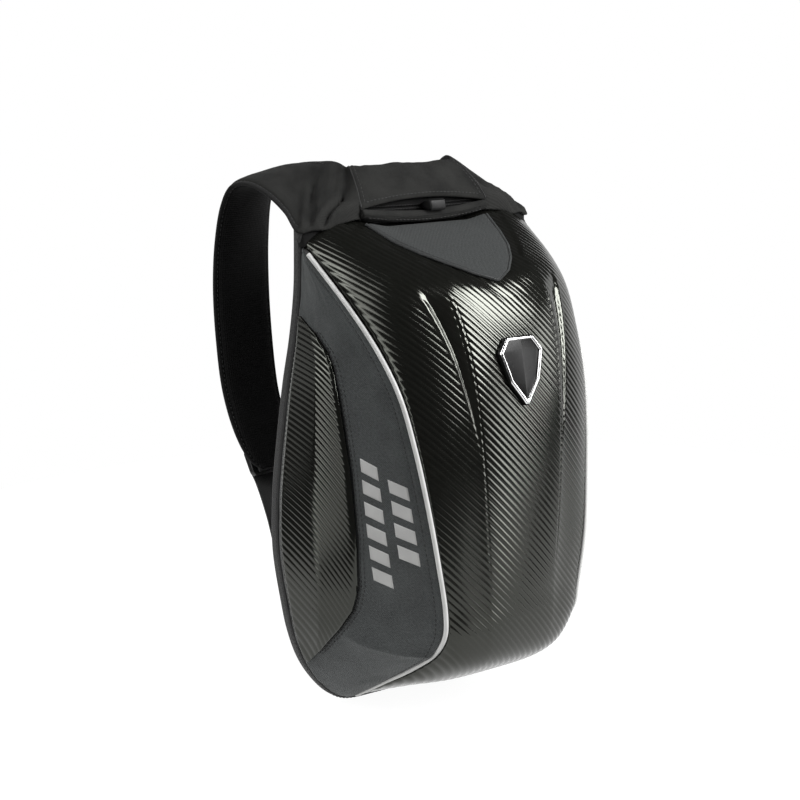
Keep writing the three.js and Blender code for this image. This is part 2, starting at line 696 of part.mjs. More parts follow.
// Frame of the badge: a strip round its edge, bent to the shell
function badgeFrame() {
  const { middleRib, width, thickness, inset, sideSteps } = BADGE_FRAME;
  const corners = [{ rib: BADGE_OUTLINE[0].rib, half: 0 }, ...BADGE_OUTLINE];
  const between = (p, q, share) => ({
    rib: THREE.MathUtils.lerp(p.rib, q.rib, share),
    half: THREE.MathUtils.lerp(p.half, q.half, share),
  });
  const side = (p, q) => Array.from({ length: sideSteps }, (_, k) => between(p, q, (k + 1) / sideSteps));
  const right = corners.slice(1).flatMap((q, i) => side(corners[i], q));
  const left = right.slice(0, -1).map((p) => ({ rib: p.rib, half: -p.half })).reverse();
  const ring = [corners[0], ...right, ...left];
  const place = ({ rib, half }, shrink, lift) => {
    const here = THREE.MathUtils.lerp(middleRib, rib, shrink) / LAST_RIB;
    return shellSkin(here, (half * shrink) / -seamLine.getPoint(here).x, lift);
  };
  const low = 2 * CLEARANCE + BADGE_LAYER.thickness;
  const high = low + thickness;
  const hole = inset - width;
  const section = [[inset, low], [inset, high], [hole, high], [hole, low]];
  const points = section.flatMap(([shrink, lift]) => ring.map((p) => place(p, shrink, lift)));
  const triangles = [];
  const count = ring.length;
  for (let f = 0; f < section.length; f++) {
    for (let k = 0; k < count; k++) {
      const next = (k + 1) % count;
      const other = (f + 1) % section.length;
      const [a, b, c, d] = [f * count + k, f * count + next, other * count + next, other * count + k];
      triangles.push(a, c, b, a, d, c);
    }
  }
  return solid(points, triangles);
}

// Assembly

const finish = (color, roughness, metalness = 0) =>
  new THREE.MeshStandardMaterial({ color, roughness, metalness });
const CARBON = finish(0x161618, 0.32);
const CLOTH = finish(0x2c2f31, 0.85);
const STRETCH_CLOTH = finish(0x262728, 0.9);
const MESH_CLOTH = finish(0x121212, 0.95);
const TRIM = finish(0x232425, 0.8);
const REFLECTIVE = finish(0xc9cac6, 0.5);
const PLASTIC = finish(0x151516, 0.45);
const CHROME = finish(0xe6e6e8, 0.12, 1);

const backpack = new THREE.Group();
const groups = {};
for (const name of ["body", "sides", "yoke", "harness", "zip", "badge"]) {
  groups[name] = new THREE.Group();
  groups[name].name = name;
  backpack.add(groups[name]);
}

function add(group, name, geometry, material) {
  const mesh = new THREE.Mesh(geometry, material);
  mesh.name = name;
  groups[group].add(mesh);
}

function addPair(group, name, geometry, material) {
  add(group, `${name}_left`, geometry, material);
  add(group, `${name}_right`, mirrored(geometry), material);
}

add("body", "shell", shellPiece(), CARBON);
add("body", "top_inset", shellLayer(TOP_INSET, TOP_INSET_LAYER), CLOTH);
add("body", "edge_binding", bindingPiece(), TRIM);
add("body", "back_panel", backPanel(), MESH_CLOTH);
addPair("sides", "side_panel", sidePiece(), CLOTH);
addPair("sides", "side_inset", sideInset(), CARBON);
addPair("sides", "reflective_piping", pipingPiece(), REFLECTIVE);
add("yoke", "yoke_panel", yokePanel(), STRETCH_CLOTH);
add("harness", "shoulder_strap_left", strapPiece(0), STRETCH_CLOTH);
add("harness", "shoulder_strap_right", mirrored(strapPiece(1)), STRETCH_CLOTH);
addPair("harness", "ladder_buckle", bucklePiece(), PLASTIC);
addPair("harness", "webbing", webbingPiece(), TRIM);
add("zip", "zip_flap", zipFlap(), STRETCH_CLOTH);
add("zip", "zip_tape", zipTape(), TRIM);
add("zip", "zip_pull", zipPull(), PLASTIC);
add("badge", "badge_base", shellLayer(BADGE_OUTLINE, BADGE_LAYER), PLASTIC);
add("badge", "badge_frame", badgeFrame(), CHROME);

export default backpack;
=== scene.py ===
"""Looks of a hard-shell motorcycle backpack, built round its packed frame.

Points are in millimetres in the row frame: +X to the right of someone facing the shell, +Y to the wearer,
+Z up, origin in the middle of the face on the wearer's back. The rows of RIBS count from the body's top edge
down, and a rib in the other tables is a place between those rows.
"""
from types import SimpleNamespace as Sizes

import bmesh
import bpy
import numpy as np
from mathutils import Matrix, Vector


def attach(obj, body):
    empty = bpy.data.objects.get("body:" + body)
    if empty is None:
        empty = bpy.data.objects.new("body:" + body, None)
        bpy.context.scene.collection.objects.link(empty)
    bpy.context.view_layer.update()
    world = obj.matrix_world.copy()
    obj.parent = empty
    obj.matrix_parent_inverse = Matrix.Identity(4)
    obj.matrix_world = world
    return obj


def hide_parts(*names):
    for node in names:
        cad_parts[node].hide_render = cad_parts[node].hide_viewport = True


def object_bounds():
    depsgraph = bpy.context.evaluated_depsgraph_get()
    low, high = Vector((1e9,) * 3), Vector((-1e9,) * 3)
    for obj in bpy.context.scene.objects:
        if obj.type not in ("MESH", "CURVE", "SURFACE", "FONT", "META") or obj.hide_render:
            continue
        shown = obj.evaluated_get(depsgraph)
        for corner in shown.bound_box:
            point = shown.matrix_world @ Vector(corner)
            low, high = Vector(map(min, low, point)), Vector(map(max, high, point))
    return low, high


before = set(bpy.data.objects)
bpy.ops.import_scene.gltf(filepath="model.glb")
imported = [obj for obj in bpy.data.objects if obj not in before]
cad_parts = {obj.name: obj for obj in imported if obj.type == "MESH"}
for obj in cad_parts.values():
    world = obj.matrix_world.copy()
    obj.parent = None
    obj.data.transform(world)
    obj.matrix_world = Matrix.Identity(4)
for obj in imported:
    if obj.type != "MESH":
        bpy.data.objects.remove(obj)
cad_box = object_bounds()

MM = 0.001
ORIGIN_HEIGHT = 230  # of the row frame's origin above the tables' zero
MIRROR = np.array([-1, 1, 1])


# Values and lines

def table(columns, *rows):
    """Columns by name, each an array with a value for every row."""
    return Sizes(**dict(zip(columns.split(), np.array(rows, float).T)))


def spot(x, depth, height):
    """Points from a place across, a depth in front of the wearer's back and a height in the tables."""
    y, z = -np.asarray(depth, float), np.asarray(height, float) - ORIGIN_HEIGHT
    return np.stack(np.broadcast_arrays(x, y, z), -1)


def smooth(low, high, value):
    share = np.clip((value - low) / (high - low), 0, 1)
    return share * share * (3 - 2 * share)


def span(rise_from, rise_to, fall_from, fall_to, value):
    """Smooth rise from 0 to 1 between the first two values, and fall to 0 between the last two."""
    return smooth(rise_from, rise_to, value) * (1 - smooth(fall_from, fall_to, value))


def bell(distance, width):
    return np.exp(-((distance / width) ** 2))


def lerp(low, high, share):
    return low + (high - low) * share


def unit(vectors):
    return vectors / np.maximum(np.linalg.norm(vectors, axis=-1, keepdims=True), 1e-9)


def grid(rows, columns):
    return np.meshgrid(rows, columns, indexing="ij")


def runs(start, *stretches):
    """Values from start on, in stretches that each have an end and a number of equal steps."""
    values = [np.array([start], float)]
    for end, steps in stretches:
        values.append(np.linspace(values[-1][-1], end, steps + 1)[1:])
    return np.concatenate(values)


def both_ways(shares):
    """Shares from the middle to one edge, continued to the other edge."""
    return np.concatenate([-shares[:0:-1], shares])


def lengths_along(points):
    """Length of the way through points, up to each of them."""
    return np.concatenate([[0], np.cumsum(np.linalg.norm(np.diff(points, axis=0), axis=-1))])


def at_length(place, lengths, values):
    return np.stack([np.interp(place, lengths, column) for column in values.T], -1)


def evenly(points, count):
    """The line through points, at equal steps along it."""
    lengths = lengths_along(points)
    return at_length(np.linspace(0, lengths[-1], count), lengths, points)


def curve(points):
    """Centripetal curve through points, as a function of the share of the way along their list."""
    count = len(points)
    known = np.asarray([2 * points[0] - points[1], *points, 2 * points[-1] - points[-2]], float)

    def place(share):
        step = np.clip(np.asarray(share, float), 0, 1) * (count - 1)
        first = np.minimum(step.astype(int), count - 2)
        w = (step - first)[..., None]
        a, b, c, d = (known[first + k] for k in range(4))
        ways = b - a, c - b, d - c
        before, here, after = (np.maximum(np.sum(way**2, -1) ** 0.25, 1e-4)[..., None] for way in ways)
        leave = ((b - a) / before - (c - a) / (before + here) + (c - b) / here) * here
        arrive = ((c - b) / here - (d - b) / (here + after) + (d - c) / after) * here
        square, cube = 3 * (c - b) - 2 * leave - arrive, 2 * (b - c) + leave + arrive
        return b + leave * w + square * w**2 + cube * w**3

    return place


def value_curve(values):
    """The same for plain numbers at equal steps."""
    line = curve(np.stack([np.arange(len(values)), values, 0 * values], -1))
    return lambda share: line(share)[..., 1]


def bumps(shape, cells, seed):
    """Soft random heights from -1 to 1 on a grid of that shape, with about that many bumps each way."""
    coarse = np.random.default_rng(seed).uniform(-1, 1, (cells[0] + 3, cells[1] + 3))
    places = [np.linspace(0, cells[k], shape[k]) for k in (0, 1)]
    for axis in (0, 1):
        first = np.minimum(places[axis].astype(int), cells[axis] - 1)
        w = smooth(0, 1, places[axis] - first)
        w = w[:, None] if axis == 0 else w[None, :]
        coarse = lerp(np.take(coarse, first, axis), np.take(coarse, first + 1, axis), w)
    return coarse


def slack(shape, waves, seed_step=0):
    """Uneven heights of loose cloth: the height, cells and seed of each wave of bumps."""
    return sum(height * bumps(shape, cells, seed + seed_step) for height, cells, seed in waves)


# Body

REAR_DEPTH = 12.6
SHELL_WALL = 3
CLOTH_WALL = 2
SEAM_TUCK = 1.7  # from the seam line to the edges that are tucked under the piping
FRONT_FLATNESS = 4
SIDE_BULGE = 7

RIBS = table(
    "rear_x rear_height seam_x seam_depth seam_height mid_depth mid_height corner",
    (125, 408, 125.3, 17.5, 406.8, 16, 423.5, 2.2),
    (126, 372, 119.2, 65.6, 365.3, 74, 403.5, 1.5),
    (131, 333, 110.4, 91.4, 332, 115, 380, 1.25),
    (138, 297, 103.2, 111, 296.5, 134, 343, 1.1),
    (144.5, 253, 96.4, 122.7, 253, 146, 290, 1),
    (150, 205, 89.8, 130.3, 208, 151, 230, 1),
    (150.5, 158, 83.2, 136, 160, 152, 175, 1),
    (143, 112, 75.3, 136.5, 115, 151, 122, 1.1),
    (136, 82, 73.8, 134, 96, 148.5, 89, 1.3),
    (125.5, 56, 72.3, 121, 78.3, 138, 65.5, 1.5),
    (110, 34, 73, 91, 57, 107, 45.5, 1.8),
    (95, 20, 75.5, 59, 38.5, 64, 30.5, 2),
    (80, 13, 76, 19.5, 16, 12.8, 13, 2.4),
)
LAST_RIB = len(RIBS.corner) - 1
# Shares across are 0 in the middle of the shell and 1 at its seam. Four ribs, shares or places together are
# where a form starts, is full, starts to fade and has ended.
TOP_EDGE = Sizes(rise=6.5, shares=(0.32, 0.62, 0.72, 0.99), end_rib=0.9)
CENTRE_PANEL = Sizes(edge=0.475, dome=2.9, fold=4.0, ribs=(1.2, 2.4, 5.8, 9.8))
CREASE_LINES = Sizes(gap=3.4, depth=0.5, width=0.75, ribs=(1.9, 2.6, 5.5, 7), second_ends=(3.2, 4.2))
# Groove beside the centre panel: its outer edge goes from the top to the end share, its floor is near it
SCOOP = Sizes(
    top_rib=1.9, end_rib=4.8, top_edge=0.7, end_edge=0.5, taper=1.3, depth=4.0, floor=0.8, deepens=(1.5, 2.5))
# Where the ribs are left out of the groove: by rib, by share of the way along it and by place across it
SCOOP_SMOOTH = Sizes(ribs=(1.5, 2.1), ends=(0.7, 1), places=(0.05, 0.3, 1.05, 1.3))
BEAD = Sizes(height=0.15, width=2.6, ribs=(1.7, 2.2, 4.8, 6.6))
# Recessed band round the cloth inset on top of the shell: half width by rib
BAND = table("rib half", (0, 88), (0.6, 74), (1, 62), (1.4, 48), (1.8, 31), (2.1, 15), (2.25, 3))
BAND_DEPTH = 1.3
BAND_EDGE = 1.1
NO_BAND = -20  # half width below the band's tip

seam_line = curve(spot(-RIBS.seam_x, RIBS.seam_depth, RIBS.seam_height))
rear_line = curve(spot(-RIBS.rear_x, REAR_DEPTH, RIBS.rear_height))
mid_line = curve(spot(0, RIBS.mid_depth, RIBS.mid_height))
corner_power = value_curve(RIBS.corner)


def normal_of(form, down, right, step=0.004, last=0.999):
    """Outward normal of a form whose first value runs down and whose second runs to the right."""
    along = form(np.minimum(down + step, 1), right) - form(np.maximum(down - step, 0), right)
    over = form(down, np.minimum(right + step, last)) - form(down, np.maximum(right - step, -last))
    return unit(np.cross(along, over))


def raised(form, down, right, height):
    """Points at a height above a form."""
    return form(down, right) + normal_of(form, down, right) * np.asarray(height)[..., None]


def shell_half(down):
    return -seam_line(down)[..., 0]


def shell_form(down, across):
    """Smooth form of the shell: down from its top edge to its bottom edge, across from seam to seam."""
    seam, mid = seam_line(down), mid_line(down)
    share = np.abs(across)
    back = 1 - (1 - share**FRONT_FLATNESS) ** (1 / corner_power(down))
    top = 1 - smooth(0, TOP_EDGE.end_rib, down * LAST_RIB)
    lift = TOP_EDGE.rise * span(*TOP_EDGE.shares, share) * top
    y, z = (lerp(mid[..., k], seam[..., k], back) for k in (1, 2))
    return np.stack([-seam[..., 0] * across, y, z + lift], -1)


def scoop_along(rib):
    return np.clip((rib - SCOOP.top_rib) / (SCOOP.end_rib - SCOOP.top_rib), 0, 1)


def scoop_edge(rib):
    """Share at which the groove beside the centre panel ends."""
    return lerp(SCOOP.top_edge, SCOOP.end_edge, scoop_along(rib) ** SCOOP.taper)


def scoop_place(rib, share):
    """Place across the groove: 0 at the centre panel and 1 at the groove's outer edge."""
    edge = CENTRE_PANEL.edge
    return (share - edge) / np.maximum(scoop_edge(rib) - edge, 0.01)


def scoop_depth(rib, share):
    """Depth of the groove, as a share of its greatest depth."""
    place = np.clip(scoop_place(rib, share), 0, 1)
    groove = np.minimum((place / SCOOP.floor) ** 2, smooth(0, 1, (1 - place) / (1 - SCOOP.floor)))
    return groove * (1 - scoop_along(rib)) * smooth(*SCOOP.deepens, rib)


def scoop_smooth(rib, share):
    """How smooth the shell is there: 1 in the groove and on its outer edge, 0 on the ribs."""
    ends = smooth(*SCOOP_SMOOTH.ribs, rib) * (1 - smooth(*SCOOP_SMOOTH.ends, scoop_along(rib)))
    return span(*SCOOP_SMOOTH.places, scoop_place(rib, share)) * ends


def shell_relief(down, across):
    """Height of the moulded relief above the shell's smooth form."""
    share = np.abs(across)
    rib = down * LAST_RIB
    width = shell_half(down)
    panel, lines = CENTRE_PANEL, CREASE_LINES
    outward = np.clip((share - panel.edge) / (1 - panel.edge), 0, 1)
    inner = panel.dome * (share / panel.edge) ** 2
    outer = panel.dome * (1 - outward) ** 2 + 4 * panel.fold * outward * (1 - outward)
    fall = np.where(share < panel.edge, inner, outer) * span(*panel.ribs, rib)
    first, second = (bell((share - panel.edge) * width - gap, lines.width) for gap in (0, lines.gap))
    both = first + second * (1 - smooth(*lines.second_ends, rib))
    crease = lines.depth * both * span(*lines.ribs, rib)
    groove = SCOOP.depth * scoop_depth(rib, share)
    bead = BEAD.height * bell((share - scoop_edge(rib)) * width, BEAD.width) * span(*BEAD.ribs, rib)
    inside = np.interp(rib, BAND.rib, BAND.half, right=NO_BAND) - share * width
    return bead - fall - groove - crease - BAND_DEPTH * smooth(-BAND_EDGE, BAND_EDGE, inside)


def shell_skin(down, across, lift=0.0, relief=True):
    return raised(shell_form, down, across, lift + (shell_relief(down, across) if relief else 0.0))


def side_form(down, forward):
    return lerp(rear_line(down), seam_line(down), np.asarray(forward)[..., None])


def side_skin(down, forward, lift=0.0):
    """Left side, bulging between the back edge (0) and the seam (1)."""
    ends = np.sqrt(np.sin(np.pi * np.clip(down, 0, 1)))
    return raised(side_form, down, forward, SIDE_BULGE * np.sin(np.pi * forward) * ends + lift)


def side_depth(down):
    return np.linalg.norm(seam_line(down) - rear_line(down), axis=-1)


def seam_stop(form, end, margin, samples=161, halvings=24):
    """Function of down: the share at which a form stops, one margin before the seam at its end."""
    downs = np.linspace(0, 1, samples)
    edge = form(downs, np.full_like(downs, end))
    along = unit(np.gradient(seam_line(downs), axis=0))
    low, high = np.zeros_like(downs), np.ones_like(downs)
    for _ in range(halvings):
        middle = (low + high) / 2
        away = form(downs, middle * end) - edge
        away = away - along * np.sum(away * along, -1, keepdims=True)
        short = np.linalg.norm(away, axis=-1) > margin
        low, high = np.where(short, middle, low), np.where(short, high, middle)
    return lambda down: np.interp(down, downs, low)


shell_stop = seam_stop(shell_form, -1, SEAM_TUCK)
side_stop = seam_stop(side_form, 1, SEAM_TUCK)


# Meshes

def added(name, data):
    """An object of the scene."""
    made = bpy.data.objects.new(name, data)
    bpy.context.scene.collection.objects.link(made)
    return made


def make(name, points, faces, looks, slot, replaces=None, uv=None, looks_of_faces=None):
    """A piece that rides on the frame, from points in millimetres."""
    mesh = bpy.data.meshes.new(name)
    mesh.from_pydata((np.reshape(points, (-1, 3)) * MM).tolist(), [], [list(map(int, f)) for f in faces])
    for look in looks if isinstance(looks, list) else [looks]:
        mesh.materials.append(look)
    if looks_of_faces is not None:
        mesh.polygons.foreach_set("material_index", np.asarray(looks_of_faces, np.int32))
    if uv is not None:
        corners = np.zeros(len(mesh.loops), np.int32)
        mesh.loops.foreach_get("vertex_index", corners)
        layer = mesh.uv_layers.new(name="cloth")
        layer.data.foreach_set("uv", (np.reshape(uv, (-1, 2))[corners] * MM).astype(np.float32).ravel())
    mesh.polygons.foreach_set("use_smooth", np.full(len(mesh.polygons), True))
    mesh.update()
    piece = added(name, mesh)
    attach(piece, "root")
    if replaces:
        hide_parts(replaces)
    return piece


def mirrored(points, faces):
    return np.reshape(points, (-1, 3)) * MIRROR, [tuple(f)[::-1] for f in faces]


def make_pair(name, points, faces, looks, slot, replaces=None, **more):
    """A piece on the left and its mirror image on the right."""
    pair = []
    for side, shape in (("left", (points, faces)), ("right", mirrored(points, faces))):
        node = f"{replaces}_{side}" if replaces else None
        pair.append(make(f"{name}_{side}", *shape, looks, slot, node, **more))
    return pair


def sheet_faces(rows, columns, start=0, close=False):
    """Quads of a grid of points; seen from outside, columns run to the right and rows run down."""
    r, c = grid(np.arange(rows - 1), np.arange(columns if close else columns - 1))
    r, c = r.ravel(), c.ravel()
    n = (c + 1) % columns
    here, below = r * columns, (r + 1) * columns
    return np.stack([here + c, below + c, below + n, here + n], -1) + start


def border(rows, columns, start=0):
    """Indices round a grid: along the top to the right, down, back along the bottom and up."""
    index = np.arange(rows * columns).reshape(rows, columns) + start
    return np.concatenate([index[0], index[1:, -1], index[-1, -2::-1], index[-2:0:-1, 0]])


def wall(outer, inner):
    """Closed wall between two grids of points with the same rows and columns."""
    rows, columns = outer.shape[:2]
    half = rows * columns
    rim = border(rows, columns)
    after = np.roll(rim, -1)
    faces = [*sheet_faces(rows, columns), *sheet_faces(rows, columns, half)[:, ::-1]]
    faces += list(np.stack([rim, after, after + half, rim + half], -1))
    return np.concatenate([outer.reshape(-1, 3), inner.reshape(-1, 3)]), faces


def wall_uv(flat):
    """Cloth coordinates of a wall, the same on both of its faces."""
    return np.tile(np.reshape(flat, (-1, 2)), (2, 1))


def loft(rings):
    """Closed body through rings; seen from the first ring towards the last, each ring runs clockwise."""
    count, sides = rings.shape[:2]
    points = np.concatenate([rings.reshape(-1, 3), rings[0].mean(0)[None], rings[-1].mean(0)[None]])
    faces = [tuple(f)[::-1] for f in sheet_faces(count, sides, 0, True)]
    k = np.arange(sides)
    n = (k + 1) % sides
    last = (count - 1) * sides
    faces += [(count * sides, b, a) for a, b in zip(k, n)]
    faces += [(count * sides + 1, a, b) for a, b in zip(k + last, n + last)]
    return points, faces


def loft_uv(flat):
    """Cloth coordinates of a loft, with the points in the middle of its two ends."""
    return np.concatenate([np.reshape(flat, (-1, 2)), np.zeros((2, 2))])


def joined(bodies):
    """Points and faces of many bodies in one mesh."""
    points, faces, count = [], [], 0
    for body_points, body_faces in bodies:
        points.append(body_points)
        faces += [tuple(np.asarray(f) + count) for f in body_faces]
        count += len(body_points)
    return np.concatenate(points), faces


def zip_loops(outer, inner, points):
    """Triangles between two closed loops of vertices that start at the same corner and run the same way."""
    shares = []
    for loop in (outer, inner):
        lengths = np.linalg.norm(np.roll(points[loop], -1, 0) - points[loop], axis=-1)
        shares.append(np.append(np.cumsum(lengths) / lengths.sum(), 2))
    faces, i, j = [], 0, 0
    while i < len(outer) or j < len(inner):
        a, b = outer[i % len(outer)], inner[j % len(inner)]
        if shares[0][i] <= shares[1][j]:
            i += 1
            faces.append((a, outer[i % len(outer)], b))
        else:
            j += 1
            faces.append((a, inner[j % len(inner)], b))
    return faces


def grid_normals(points):
    return unit(np.cross(np.gradient(points, axis=0), np.gradient(points, axis=1)))


def sample(values, row_share, column_share):
    """Values of a grid between its points."""
    r = np.clip(row_share, 0, 1) * (values.shape[0] - 1)
    c = np.clip(column_share, 0, 1) * (values.shape[1] - 1)
    r0, c0 = np.minimum(r.astype(int), values.shape[0] - 2), np.minimum(c.astype(int), values.shape[1] - 2)
    u, v = (r - r0)[:, None], (c - c0)[:, None]
    upper, lower = (lerp(values[r0 + k, c0], values[r0 + k, c0 + 1], v) for k in (0, 1))
    return lerp(upper, lower, u)


def apply_modifiers(piece):
    bpy.context.view_layer.update()
    mesh = bpy.data.meshes.new_from_object(piece.evaluated_get(bpy.context.evaluated_depsgraph_get()))
    piece.modifiers.clear()
    piece.data = mesh


def split_edges(piece, degrees):
    """Sharp shading at the edges that turn by more than that."""
    piece.modifiers.new("edges", "EDGE_SPLIT").split_angle = np.radians(degrees)
    apply_modifiers(piece)


# Ribbed skins

RIB_PITCH = 6.37  # height between two ribs of the shell
RIB_HEIGHT = 0.5
RIB_SAMPLES = 6  # rows of the mesh for each rib
RIB_SEARCH = 500  # steps down a surface in which its ribs are found


def rib_rows(surface, phase, shares):
    """Rows that follow the ribs: down for each row and share, and each column's first and last row."""
    fine = np.linspace(0, 1, RIB_SEARCH)
    ribs = phase(surface(*grid(fine, shares)))
    rising = np.maximum.accumulate(-ribs, 0)
    step = 1 / RIB_SAMPLES
    levels = np.arange(np.ceil(ribs.max() / step) + 1, np.floor(ribs.min() / step) - 2, -1) * step
    down = np.stack([np.interp(-levels, column, fine) for column in rising.T], 1)
    return down, np.argmax(down > 0, 0) - 1, np.argmax(down >= 1, 0)


def rib_faces(rows, top, bottom):
    """Faces between those rows, and the loop of vertices round them."""
    columns = len(top)
    r, c = grid(np.arange(rows), np.arange(columns))
    index = np.clip(r, top, bottom) * columns + c
    a, b, d, e = index[:-1, :-1], index[1:, :-1], index[1:, 1:], index[:-1, 1:]
    left, right = a != b, d != e
    faces = []
    kinds = ((a, b, d, e), left & right), ((a, b, d), left & ~right), ((a, d, e), ~left & right)
    for corners, there in kinds:
        faces += list(np.stack(corners, -1)[there])
    loop = np.concatenate([
        top * columns + c[0],
        np.arange(top[-1] + 1, bottom[-1] + 1) * columns + columns - 1,
        (bottom * columns + c[0])[-2::-1],
        np.arange(bottom[0] - 1, top[0], -1) * columns,
    ])
    return faces, loop


def ribbed_skin(surface, normal, phase, shares, wall_thickness, rib_height, back_shape):
    """Closed wall whose outer rows follow its ribs. surface(down, share) gives points, phase counts ribs."""
    down, top, bottom = rib_rows(surface, phase, shares)
    faces, loop = rib_faces(len(down), top, bottom)
    share = np.broadcast_to(shares, down.shape)
    flat = surface(down, share)
    ribs = phase(flat)
    height = rib_height(down, share) * np.abs(np.cos(np.pi * ribs))  # round cords side by side
    front = flat + normal(down, share) * height[..., None]
    places = grid(np.linspace(0, 1, back_shape[0]), np.linspace(shares[0], shares[-1], back_shape[1]))
    back = surface(*places) - normal(*places) * wall_thickness
    back[..., 1] = np.minimum(back[..., 1], -REAR_DEPTH)
    points = np.concatenate([front.reshape(-1, 3), back.reshape(-1, 3)])
    faces += list(sheet_faces(*back_shape, down.size)[:, ::-1])
    faces += zip_loops(loop, border(*back_shape, down.size), points)
    arc = np.cumsum(np.linalg.norm(np.diff(flat, axis=1, prepend=flat[:, :1]), axis=-1), 1)
    uv = np.zeros((len(points), 2))
    uv[: down.size] = np.stack([arc, ribs * RIB_PITCH], -1).reshape(-1, 2)
    used = np.unique(np.concatenate([np.ravel(f) for f in faces]))
    new = np.zeros(len(points), int)
    new[used] = np.arange(len(used))
    return points[used], [new[np.asarray(f)] for f in faces], uv[used]


# Materials

WAVE_TURN = 20  # how fast the wave texture turns for each unit of its scale
NOISE = Sizes(cloth=1.6, worn=26.0, plain=14.0, carbon=9.0)  # sizes of the uneven spots
WARM = (0.98, 1.0, 0.86)
COOL = (0.92, 1.0, 1.0)
COATING_TINT = (1, 1, 0.98)


class Look:
    """A procedural material: one principled shader and the nodes that feed it. Sizes are in millimetres."""

    def __init__(self, name, **settings):
        self.material = bpy.data.materials.new(name)
        self.material.use_nodes = True
        self.tree = self.material.node_tree
        self.shader = self.tree.nodes["Principled BSDF"]
        for socket, value in settings.items():
            self.feed(socket.replace("_", " "), value)

    def put(self, entry, value):
        if isinstance(value, bpy.types.NodeSocket):
            self.tree.links.new(value, entry)
        else:
            entry.default_value = value

    def feed(self, socket, value):
        self.put(self.shader.inputs[socket], value)

    def node(self, kind, inputs=(), **settings):
        made = self.tree.nodes.new("ShaderNode" + kind)
        for name, value in settings.items():
            setattr(made, name, value)
        for socket, value in dict(inputs).items():
            self.put(made.inputs[socket], value)
        return made

    def math(self, operation, a, b):
        return self.node("Math", {0: a, 1: b}, operation=operation).outputs[0]

    def range(self, value, low, high):
        return self.node("MapRange", {"Value": value, "To Min": low, "To Max": high}).outputs[0]

    def mix(self, share, low, high):
        made = self.node("Mix", data_type="RGBA")
        entries = {entry.identifier: entry for entry in made.inputs}
        for socket, value in (("Factor_Float", share), ("A_Color", low), ("B_Color", high)):
            self.put(entries[socket], value)
        return next(s for s in made.outputs if s.identifier == "Result_Color")

    def cloth_place(self, by_uv=True):
        """Coordinates on the surface in metres, along the piece's own grid or in the row frame."""
        if by_uv:
            return self.node("UVMap", uv_map="cloth").outputs[0]
        return self.node("TexCoord").outputs["Object"]

    def threads(self, place, axis, pitch, turn=0.0):
        """Wave from 0 to 1 across threads with that pitch."""
        turned = self.node("Mapping", {"Vector": place, "Rotation": (0, 0, turn)}).outputs[0]
        scale = 2 * np.pi / WAVE_TURN / (pitch * MM)
        return self.node("TexWave", {"Vector": turned, "Scale": scale}, bands_direction=axis).outputs["Fac"]

    def noise(self, place, size, detail=3.0):
        """Soft noise from 0 to 1 with spots of that size."""
        made = self.node("TexNoise", {"Vector": place, "Scale": 1 / (size * MM), "Detail": detail})
        return made.outputs["Fac"]

    def bump(self, height, depth, strength=1.0):
        """Bump of that depth where height goes from 0 to 1."""
        made = self.node("Bump", {"Height": height, "Strength": strength, "Distance": depth * MM})
        self.feed("Normal", made.outputs[0])


def grey(value, tint=(1, 1, 1)):
    return tuple(value * t for t in tint) + (1.0,)


def woven(name, base, pitch, heather=0.25, tint=(1, 1, 1), depth=0.12, sheen=0.15, gloss=0.25, patches=0.0):
    """Plain-woven cloth: crossing threads, painted shade between them, heather, worn patches, a little sheen.
    """
    look = Look(name, Roughness=0.85, Specular_IOR_Level=gloss, Sheen_Weight=sheen, Sheen_Roughness=0.5)
    place = look.cloth_place()
    warp, weft = (look.threads(place, axis, pitch) for axis in "XY")
    under = look.math("MULTIPLY", look.math("SUBTRACT", 1.0, warp), look.math("SUBTRACT", 1.0, weft))
    height = look.math("ADD", look.math("MULTIPLY", warp, weft), under)
    spots = look.math("MULTIPLY", look.noise(place, NOISE.cloth), 0.9)
    # Thread height sets part of the colour: painted shade between the threads; the spots are heather.
    shade = look.math("ADD", look.math("MULTIPLY", height, 0.5), spots)
    worn = look.math("MULTIPLY", look.math("SUBTRACT", look.noise(place, NOISE.worn), 0.5), patches)
    share = look.range(look.math("ADD", shade, worn), 0.0, 1.0)
    low, high = (grey(base * (1 + way * heather), tint) for way in (-1, 1))
    look.feed("Base Color", look.mix(share, low, high))
    look.bump(height, depth)
    return look.material


def carbon(name):
    """Ribbed carbon-look skin: near black, glossy, with fine fibres along each rib."""
    look = Look(name, Specular_IOR_Level=0.55, Specular_Tint=(0.95, 0.98, 0.88, 1))
    place = look.cloth_place()
    spots = look.noise(place, NOISE.carbon)
    look.feed("Base Color", look.mix(spots, grey(0.003, WARM), grey(0.006, WARM)))
    look.feed("Roughness", look.range(spots, 0.12, 0.18))
    look.bump(look.threads(place, "X", pitch=0.9, turn=0.35), depth=0.03, strength=0.3)
    return look.material


def mesh_cloth(name, base, hole, by_uv=True):
    """Air mesh: rows of small round holes in a knitted face, with painted shade in the holes."""
    look = Look(name, Roughness=0.9, Specular_IOR_Level=0.1, Sheen_Weight=0.03)
    place = look.cloth_place(by_uv)
    holes = look.node("TexVoronoi", {"Vector": place, "Scale": 1 / (hole * MM), "Randomness": 0.25})
    open_share = look.range(holes.outputs["Distance"], -0.15, 1.35)
    # Darker in the holes: painted shade inside them.
    look.feed("Base Color", look.mix(open_share, grey(base * 0.35), grey(base * 1.25)))
    look.bump(open_share, depth=0.5)
    return look.material


